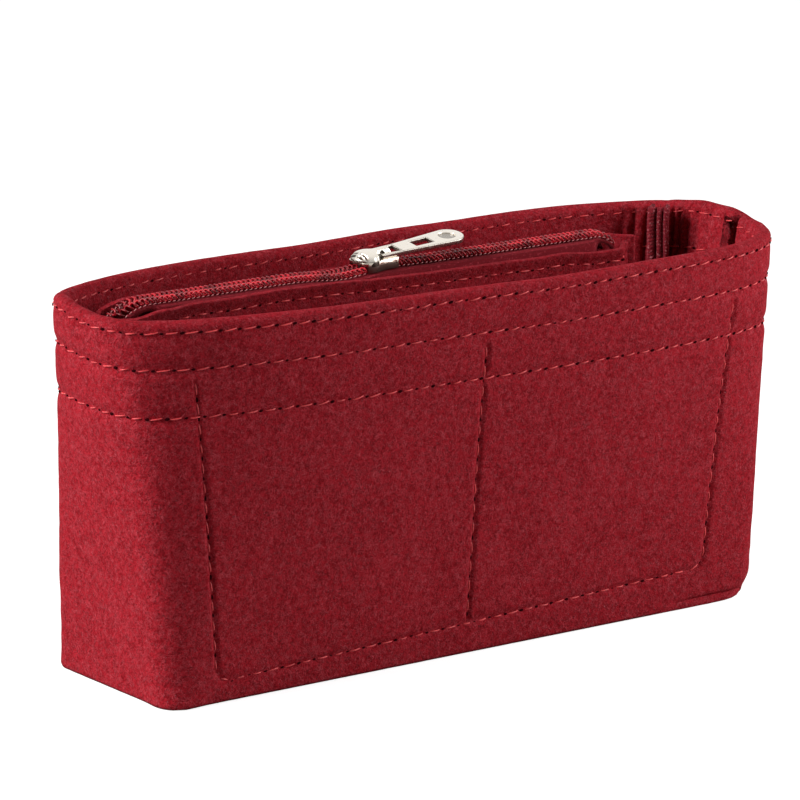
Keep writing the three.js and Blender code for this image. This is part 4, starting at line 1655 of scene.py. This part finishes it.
        def place(along: float, around: float) -> Vector:
            """Returns a point of the tape."""
            length = chain.run * along
            from_end = min(length - chain.left_curl, chain.left_curl + chain.straight - length)
            full = smooth(from_end / flap_run)
            edge = blend(end_edge, full_edge, full)
            flap = blend(2 * thick, flap_full, full)
            section = [
                (inner, top), (blend(inner, edge, 0.5), top), (edge - 0.25, top), (edge, -0.35),
                (edge, -flap / 3), (edge, -flap), (edge - thick, -flap), (edge - thick, -thick),
                (inner, -thick),
            ]
            lateral, rise = section[round(around * len(section)) % len(section)]
            return chain.point(length, lateral, rise, side)

        made = Loft(220, 9, tube=True, capped=True).shape(place)
        name, node = f"tape_{side.label}", f"zip_tape_{side.label}"
        Piece(name, self.palette.tape, "zip_tape", stands_for=(node,)).publish(made)

    def build_coil(self, side: Side) -> None:
        """Makes one wound coil row."""
        chain, coil = self.chain, self.coil
        middle, reach, centre_rise, half_rise = coil.spans
        phase = 0.0 if side is Side.BACK else chain.pitch / 2
        turns = int((chain.run - phase) / chain.pitch) - 1
        path, centres, radii = [], [], []
        for step in range(turns * coil.steps + 1):
            turn = step / coil.steps
            angle = 2 * math.pi * turn
            slip = coil.slip * math.sin(2 * angle)
            length = phase + (turn + 0.5 + slip) * chain.pitch
            off = chain.parting(length)
            lateral = middle + off - reach * math.cos(angle)
            rise = centre_rise + half_rise * math.sin(angle)
            path.append(chain.point(length, lateral, rise, side))
            centres.append(chain.point(length, middle + off, centre_rise, side))
            swell = max(math.cos(angle), 0.0) ** 1.5
            radii.append(blend(coil.leg_radius, coil.head_radius, swell))
        made = swept_tube(path, centres, radii, coil.sides)
        name, node = f"coil_{side.label}", f"zip_coil_{side.label}"
        Piece(name, self.palette.coil, "zip_coil", stands_for=(node,)).publish(made)

    def sew_coil(self, side: Side) -> None:
        """Makes the pale chain stitch that holds a coil on its tape."""
        chain = self.chain
        work = Needlework(chain.pitch, thread_length=0.85, thread_radius=0.13, sink=0.14, rise=0.12)
        places = []
        out = Vector((0, side.value, 0.5))
        for step in range(int(chain.run / chain.pitch) - 1):
            length = (step + 0.75) * chain.pitch
            lateral = self.coil.outer + 0.12 + chain.parting(length)
            middle = chain.point(length, lateral, 0.35, side)
            ahead = chain.point(length + 0.3, lateral, 0.45, side)
            places.append(Stitch(middle, ahead - middle, out).matrix())
        piece = Piece(f"coil_thread_{side.label}", self.palette.zip_thread, "zip_coil")
        piece.publish(repeated(work.thread_shape(), places))

    def build(self) -> None:
        """Makes the whole pouch."""
        for side in Side:
            self.build_panel(side)
            self.build_tape(side)
            self.build_coil(side)
            self.sew_coil(side)


# Slider and pull tab


@dataclass
class ZipSlider:
    """Slider body, domed cap, lock pawl and pull tab, in nickel."""

    palette: Palette
    centre: Vector = field(default_factory=lambda: Vector((-13.0, 3.0, 98.7)))
    length: float = 11.5
    plate_top: float = 3.0
    cap_length: float = 11.3
    cap_inset: float = -0.35
    cap_half_width: float = 4.45
    skirt: float = 1.2
    cap_neck: float = 1.2
    cap_height: float = 2.35
    head_share: float = 0.32
    nose_share: float = 0.36
    tail_share: float = 0.1
    slits: tuple[float, float] = (0.07, 0.145)
    slit_width: float = 0.022
    slit_depth: float = 0.65
    bar_offset: float = 2.0
    bar_rise: float = 1.0
    bar_radius: float = 0.65
    bar_length: float = 4.2
    tunnel_radius: float = 0.85
    pull_length: float = 26.6
    root_half: float = 2.8
    shoulder: float = 5.6
    tip_half: float = 4.2
    slot: tuple[float, float, float] = (10.8, 16.5, 1.8)
    window: tuple[float, float, float] = (0.4, 1.6, 2.2)
    dimple: tuple[float, float, float, float] = (4.6, 2.3, 2.5, 0.6)
    thickness: float = 1.3
    edge: float = 0.26
    sharp: float = 0.6
    heel: float = 0.7
    nose_dip: float = 2.4
    pull_pitch: float = 4.6
    pull_roll: float = 8.0
    pull_drop: float = 0.18

    @property
    def bar(self) -> Vector:
        """The middle of the pull tab's bar, about which the tab swings."""
        return self.centre + Vector((self.bar_offset, 0, self.plate_top + self.bar_rise))

    @property
    def tilt(self) -> Matrix:
        """The slider's play on its chain: it sits with its nose a little low."""
        pivot = Matrix.Translation(self.bar * MM)
        return pivot @ Matrix.Rotation(math.radians(-self.nose_dip), 4, "Y") @ pivot.inverted()

    def copied(self, node: str, bevel: float) -> Shape:
        """Returns a frame node's merged shape with its edges rounded, tilted with the slider.

        Args:
            node: The frame's node.
            bevel: The width of the rounding.
        """
        made = bmesh.new()
        made.from_mesh(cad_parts[node].data)
        bmesh.ops.remove_doubles(made, verts=made.verts, dist=1e-6)
        bmesh.ops.dissolve_limit(
            made, angle_limit=math.radians(2), verts=made.verts, edges=made.edges, delimit=set()
        )
        inner = [edge for edge in made.edges if len(edge.link_faces) == 2]
        sharp = [edge for edge in inner if edge.calc_face_angle() > self.sharp]
        bmesh.ops.bevel(
            made, geom=sharp, offset=bevel * MM, segments=2, profile=0.5, affect="EDGES",
            material=-1, clamp_overlap=True,
        )
        bmesh.ops.transform(made, matrix=self.tilt, verts=made.verts)
        return made

    def build_body(self) -> None:
        """Makes the two plates on their post."""
        made = self.copied("slider_body", 0.24)
        # Its nickel is a darker copy, painted shade for dimmer reflections, with more painted shade
        # between the plates.
        piece = Piece("slider", self.palette.worn_nickel, "nickel", Body.SLIDER, ("slider_body",))
        piece.publish(made)

    def cap_width(self, along: float) -> float:
        """Returns the cap's half width: a round head that narrows to a straight bridge."""
        head = rounded(max(self.head_share - along, 0.0) / self.head_share)
        narrowing = smooth((along - 0.4) / 0.22)
        return max(blend(self.cap_half_width * head, self.cap_neck, narrowing), 0.25)

    def cap_rise(self, along: float) -> float:
        """Returns the cap's height over the plate."""
        nose = rounded(max(self.nose_share - along, 0.0) / self.nose_share)
        tail = rounded(max(along - 1 + self.tail_share, 0.0) / self.tail_share)
        return self.cap_height * max(nose * tail, 0.12)

    def slit(self, along: float, across: float) -> float:
        """Returns how deep a place lies in a slit, which stops short of the ridge and the foot."""
        slit = max(bell((along - place) / self.slit_width) for place in self.slits)
        return slit * smooth((abs(across) - 0.1) / 0.14) * smooth((0.94 - abs(across)) / 0.1)

    def skirt_drop(self, along: float, across: float) -> float:
        """Returns how far the edge of the cap's wide part is drawn down over the plate."""
        wide = smooth((self.cap_width(along) - 3.1) / 0.8)
        wide *= 1 - smooth((along - self.nose_share) / 0.12)
        return self.skirt * abs(across) ** 8 * wide

    def build_cap(self) -> None:
        """Makes the domed cap, with a tunnel for the pull tab's bar."""
        foot = self.plate_top + 0.1
        start = -self.length / 2 + self.cap_inset

        def place(along: float, around: float) -> Vector:
            """Returns a point of the cap's skin."""
            across, up = math.cos(math.pi * around), max(math.sin(math.pi * around), 0.0)
            rise = self.cap_rise(along) * up ** 0.7 - self.slit_depth * self.slit(along, across)
            return self.centre + Vector((
                start + self.cap_length * along,
                self.cap_width(along) * across,
                foot + rise - self.skirt_drop(along, across),
            ))

        made = Loft(110, 28).shape(place)
        edges = [edge for edge in made.edges if edge.is_boundary]
        bmesh.ops.holes_fill(made, edges=edges, sides=0)
        bmesh.ops.recalc_face_normals(made, faces=made.faces)
        cap = Piece("slider_dome", self.palette.nickel, "nickel", Body.SLIDER, ("slider_cap",))

        def tarnish(spot: Vector) -> float:
            """Returns the painted shade on the cap: in its slits and the tunnel, along its foot and
            darker towards the bottom.
            """
            from_centre = spot - self.centre
            along = (from_centre.x - start) / self.cap_length
            slit = self.slit(along, from_centre.y / self.cap_width(min(max(along, 0.01), 1.0)))
            from_bar = math.hypot(spot.x - self.bar.x, spot.z - self.bar.z)
            inside = 1.0 if from_bar < self.tunnel_radius + 0.05 else 0.0
            low = 1 - smooth((from_centre.z - foot) / (self.cap_height * 0.8))
            edge = 0.5 if from_centre.z < foot + 0.12 else 0.0
            return min(slit * 2.0 + inside + 0.55 * low + edge, 1.0)

        cutters = [self.tunnel(), self.gateway(), self.pawl_room()]
        self.publish_cut(cap, made, cutters, self.tilt, tarnish)

    def tunnel(self) -> Shape:
        """Returns the round hole for the pull tab's bar."""
        made, radius = bmesh.new(), self.tunnel_radius * MM
        bmesh.ops.create_cone(
            made, cap_ends=True, segments=32, radius1=radius, radius2=radius, depth=9 * MM
        )
        matrix = Matrix.Translation(self.bar * MM) @ Matrix.Rotation(math.pi / 2, 4, "X")
        bmesh.ops.transform(made, matrix=matrix, verts=made.verts)
        return made

    def room(self, size: Vector, middle: Vector) -> Shape:
        """Returns a block, measured from the slider's centre."""
        made = bmesh.new()
        bmesh.ops.create_cube(made, size=MM)
        matrix = Matrix.Translation((self.centre + middle) * MM) @ Matrix.Diagonal((*size, 1.0))
        bmesh.ops.transform(made, matrix=matrix, verts=made.verts)
        return made

    def gateway(self) -> Shape:
        """Returns the slot under the tunnel."""
        size = Vector((2 * self.tunnel_radius, 9, self.bar_rise + 1))
        height = self.plate_top + (self.bar_rise - 1) / 2
        return self.room(size, Vector((self.bar_offset, 0, height)))

    def pawl_room(self) -> Shape:
        """Returns the pocket that the lock pawl moves in."""
        return self.room(Vector((4.5, 1.1, 2.2)), Vector((-0.9, 0, self.plate_top + 0.15)))

    def publish_cut(
        self,
        piece: Piece,
        made: Shape,
        cutters: Sequence[Shape],
        placing: Matrix,
        tarnish: Callable[[Vector], float],
    ) -> bpy.types.Object:
        """Publishes a shape with others cut out of it.

        Args:
            piece: What the shape becomes.
            made: The shape.
            cutters: The shapes to cut away, which are freed.
            placing: How the finished shape is turned into its place.
            tarnish: Returns how much shade is painted on the metal at a place on the shape, in
                millimetres.

        Returns:
            The finished object.
        """
        cut_object = piece.publish(made)
        for index, cutter in enumerate(cutters):
            bmesh.ops.recalc_face_normals(cutter, faces=cutter.faces)
            tool = added("cutter", mesh_of(cutter, "cutter"))
            modifier = cut_object.modifiers.new(f"cut_{index}", "BOOLEAN")
            modifier.operation = "DIFFERENCE"
            modifier.solver = "EXACT"
            modifier.object = tool
            bpy.context.view_layer.update()
            evaluated = cut_object.evaluated_get(bpy.context.evaluated_depsgraph_get())
            result = bpy.data.meshes.new_from_object(evaluated)
            cut_object.modifiers.clear()
            cut_object.data = result
            bpy.data.objects.remove(tool)
        shaped = bmesh.new()
        shaped.from_mesh(cut_object.data)
        # Stores the painted shade per vertex, which darkens the nickel's colour.
        shade_layer = shaped.verts.layers.float.new("tarnish")
        for vertex in shaped.verts:
            vertex[shade_layer] = tarnish(vertex.co / MM)
        bmesh.ops.transform(shaped, matrix=placing, verts=shaped.verts)
        for edge in shaped.edges:
            edge.smooth = len(edge.link_faces) == 2 and edge.calc_face_angle() < self.sharp
        shaped.to_mesh(cut_object.data)
        shaped.free()
        return cut_object

    def pull_outline(self) -> list[list[tuple[float, float]]]:
        """Returns the pull tab's outline, open at the window, and its slot."""
        tip, half, heel, shoulder = self.tip_half, self.root_half, -self.heel, self.shoulder
        start, near_half, far_half = self.window
        outline = [(heel, -half), (shoulder, -half)]
        for step in range(33):
            angle = -math.pi / 2 + math.pi * step / 32
            outline.append((self.pull_length - tip + tip * math.cos(angle), tip * math.sin(angle)))
        outline += [(shoulder, half), (heel, half)]
        outline += [(heel, near_half), (start, near_half), (shoulder, far_half)]
        outline += [(shoulder, -far_half), (start, -near_half), (heel, -near_half)]
        near, far, wide = self.slot
        return [outline, [(near, -wide), (near, wide), (far, wide), (far, -wide)]]

    def build_pull(self) -> None:
        """Makes the pull tab: a cast plate on a round bar, with a plain dimple near its tip."""
        curve = bpy.data.curves.new("pull_curve", "CURVE")
        curve.dimensions = "2D"
        curve.fill_mode = "BOTH"
        curve.extrude = self.thickness / 2 - self.edge
        curve.bevel_depth = self.edge
        curve.bevel_resolution = 2
        curve.offset = -self.edge
        for loop in self.pull_outline():
            spline = curve.splines.new("POLY")
            spline.points.add(len(loop) - 1)
            for point, corner in zip(spline.points, loop):
                point.co = (*corner, 0.0, 1.0)
            spline.use_cyclic_u = True
        holder = added("pull_curve", curve)
        mesh = bpy.data.meshes.new_from_object(holder)
        bpy.data.objects.remove(holder)
        made = bmesh.new()
        made.from_mesh(mesh)
        bmesh.ops.remove_doubles(made, verts=made.verts, dist=1e-4)
        bar = bmesh.ops.create_cone(
            made, cap_ends=True, segments=24, radius1=self.bar_radius, radius2=self.bar_radius,
            depth=self.bar_length,
        )
        bmesh.ops.rotate(made, verts=bar["verts"], matrix=Matrix.Rotation(math.pi / 2, 3, "X"))
        bmesh.ops.scale(made, vec=(MM, MM, MM), verts=made.verts)
        bmesh.ops.recalc_face_normals(made, faces=made.faces)
        dish = bmesh.new()
        from_tip, low_radius, high_radius, deep = self.dimple
        bmesh.ops.create_cone(
            dish, cap_ends=True, segments=48, radius1=low_radius * MM, radius2=high_radius * MM,
            depth=deep * MM,
        )
        spot = Vector((self.pull_length - from_tip, 0, self.thickness / 2))
        bmesh.ops.translate(dish, vec=spot * MM, verts=dish.verts)
        placing = Matrix.Translation((self.bar - Vector((0, 0, self.pull_drop))) * MM)
        placing @= Matrix.Rotation(math.radians(self.pull_roll), 4, "X")
        placing @= Matrix.Rotation(-math.radians(self.pull_pitch), 4, "Y")

        def tarnish(spot: Vector) -> float:
            """Returns the painted shade on the tab: along its sides, and less on its underside and
            in the dimple.
            """
            side = 0.62 if abs(spot.z) < self.thickness / 2 - 0.02 else 0.0
            return max(side, 0.3 if spot.z < self.thickness / 2 - 0.2 and side == 0 else 0.0)

        pull = Piece("pull", self.palette.nickel, "nickel", Body.PULL, ("pull_tab",))
        self.publish_cut(pull, made, [dish], placing, tarnish)

    def build_pawl(self) -> None:
        """Makes the lock pawl."""
        made = self.copied("lock_pawl", 0.05)
        Piece("pawl", self.palette.nickel, "nickel", Body.PAWL, ("lock_pawl",)).publish(made)

    def build(self) -> None:
        """Makes the whole slider."""
        self.build_body()
        self.build_cap()
        self.build_pawl()
        self.build_pull()


# Studio


class Sky(Board):
    """The node tree of the world."""

    def __init__(self, name: str) -> None:
        """Starts an empty world.

        Args:
            name: The world's name.
        """
        world = bpy.data.worlds.new(name)
        bpy.context.scene.world = world
        world.use_nodes = True
        self.tree = world.node_tree
        self.tree.nodes.clear()

    def fill(self, strength: float) -> None:
        """Lights the studio evenly, before a white background.

        Args:
            strength: How bright the light is.
        """
        white = (1.0, 1.0, 1.0)
        soft = self.add("ShaderNodeBackground", values={"Color": white, "Strength": strength})
        plain = self.add("ShaderNodeBackground", values={"Color": white, "Strength": 1.0})
        values = {"Fac": self.seen(), "Shader": soft, "Shader_001": plain}
        self.end("ShaderNodeOutputWorld", self.add("ShaderNodeMixShader", values=values))


@dataclass(frozen=True)
class Studio:
    """Camera, lamps and the pale floor."""

    azimuth: float = -37.633
    elevation: float = 13.908
    roll: float = 0.986
    view_angle: float = 8.0
    distance: float = 1503.812
    target_right: float = -4.538
    target_up: float = 62.277
    sky: float = 0.12
    floor_shade: float = 0.44
    floor_glow: float = 0.82
    floor_half: float = 6.0
    lamps: tuple[tuple[str, Colour, float, float], ...] = (
        ("key", (-1.24, 0.44, 0.8), 0.8, 33.0), ("fill", (0.43, -0.31, 0.26), 0.4, 2.9),
    )

    def place_camera(self) -> None:
        """Puts the camera where the photograph was taken from."""
        azimuth, elevation, roll = map(math.radians, (self.azimuth, self.elevation, self.roll))
        back = Vector((
            math.sin(azimuth) * math.cos(elevation),
            -math.cos(azimuth) * math.cos(elevation),
            math.sin(elevation),
        ))
        level = Vector((math.cos(azimuth), math.sin(azimuth), 0.0))
        upright = back.cross(level)
        right = level * math.cos(roll) + upright * math.sin(roll)
        up = upright * math.cos(roll) - level * math.sin(roll)
        target = level * self.target_right + Vector((0, 0, self.target_up))
        eye = (target + back * self.distance) * MM
        data = bpy.data.cameras.new("camera")
        data.sensor_fit = "AUTO"
        data.angle = math.radians(self.view_angle)
        data.clip_end = 20.0
        camera = added("camera", data)
        turned = Matrix((right, up, back)).transposed().to_4x4()
        camera.matrix_world = Matrix.Translation(eye) @ turned
        bpy.context.scene.camera = camera

    def add_lamp(self, name: str, place: Colour, size: float, watts: float) -> None:
        """Hangs a soft square lamp that faces the insert.

        Args:
            name: The lamp's name.
            place: Where it hangs, in metres.
            size: Its side.
            watts: Its power.
        """
        data = bpy.data.lights.new(name, "AREA")
        data.size = size
        data.energy = watts
        lamp = added(name, data)
        lamp.location = place
        to_insert = Vector((0, 0, 0.05)) - Vector(place)
        lamp.rotation_euler = to_insert.to_track_quat("-Z", "Y").to_euler()

    def lay_floor(self) -> None:
        """Lays a wide pale floor that keeps the insert's shadow."""
        board = Board("floor")
        material = board.surface({
            "Base Color": (self.floor_shade,) * 3,
            "Roughness": 0.9,
            "Specular IOR Level": 0.1,
            "Emission Color": (1.0, 1.0, 1.0),
            "Emission Strength": board.seen() * self.floor_glow,
        })
        made = bmesh.new()
        bmesh.ops.create_grid(made, x_segments=1, y_segments=1, size=self.floor_half)
        mesh = mesh_of(made, "floor")
        mesh.materials.append(material)
        floor = added("floor", mesh)
        floor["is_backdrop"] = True

    def build(self) -> None:
        """Sets up the whole studio."""
        bpy.context.scene.view_settings.view_transform = "Standard"
        self.place_camera()
        Sky("studio").fill(self.sky)
        self.lay_floor()
        for lamp in self.lamps:
            self.add_lamp(*lamp)


def corners(box: Iterable[Iterable[float]]) -> list[list[float]]:
    """Returns a box's corners as plain lists."""
    return [list(map(float, corner)) for corner in box]


def main() -> None:
    """Builds the studio and the insert, and measures how large both boxes are."""
    logging.basicConfig(level=logging.INFO, format="%(message)s")
    cad_box = corners(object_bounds())
    Studio().build()
    palette = Palette()
    FeltBox(palette).build()
    ZipPouch(palette).build()
    ZipSlider(palette).build()
    {"cad": cad_box, "visual": corners(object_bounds())}


if __name__ == "__main__":
    main()
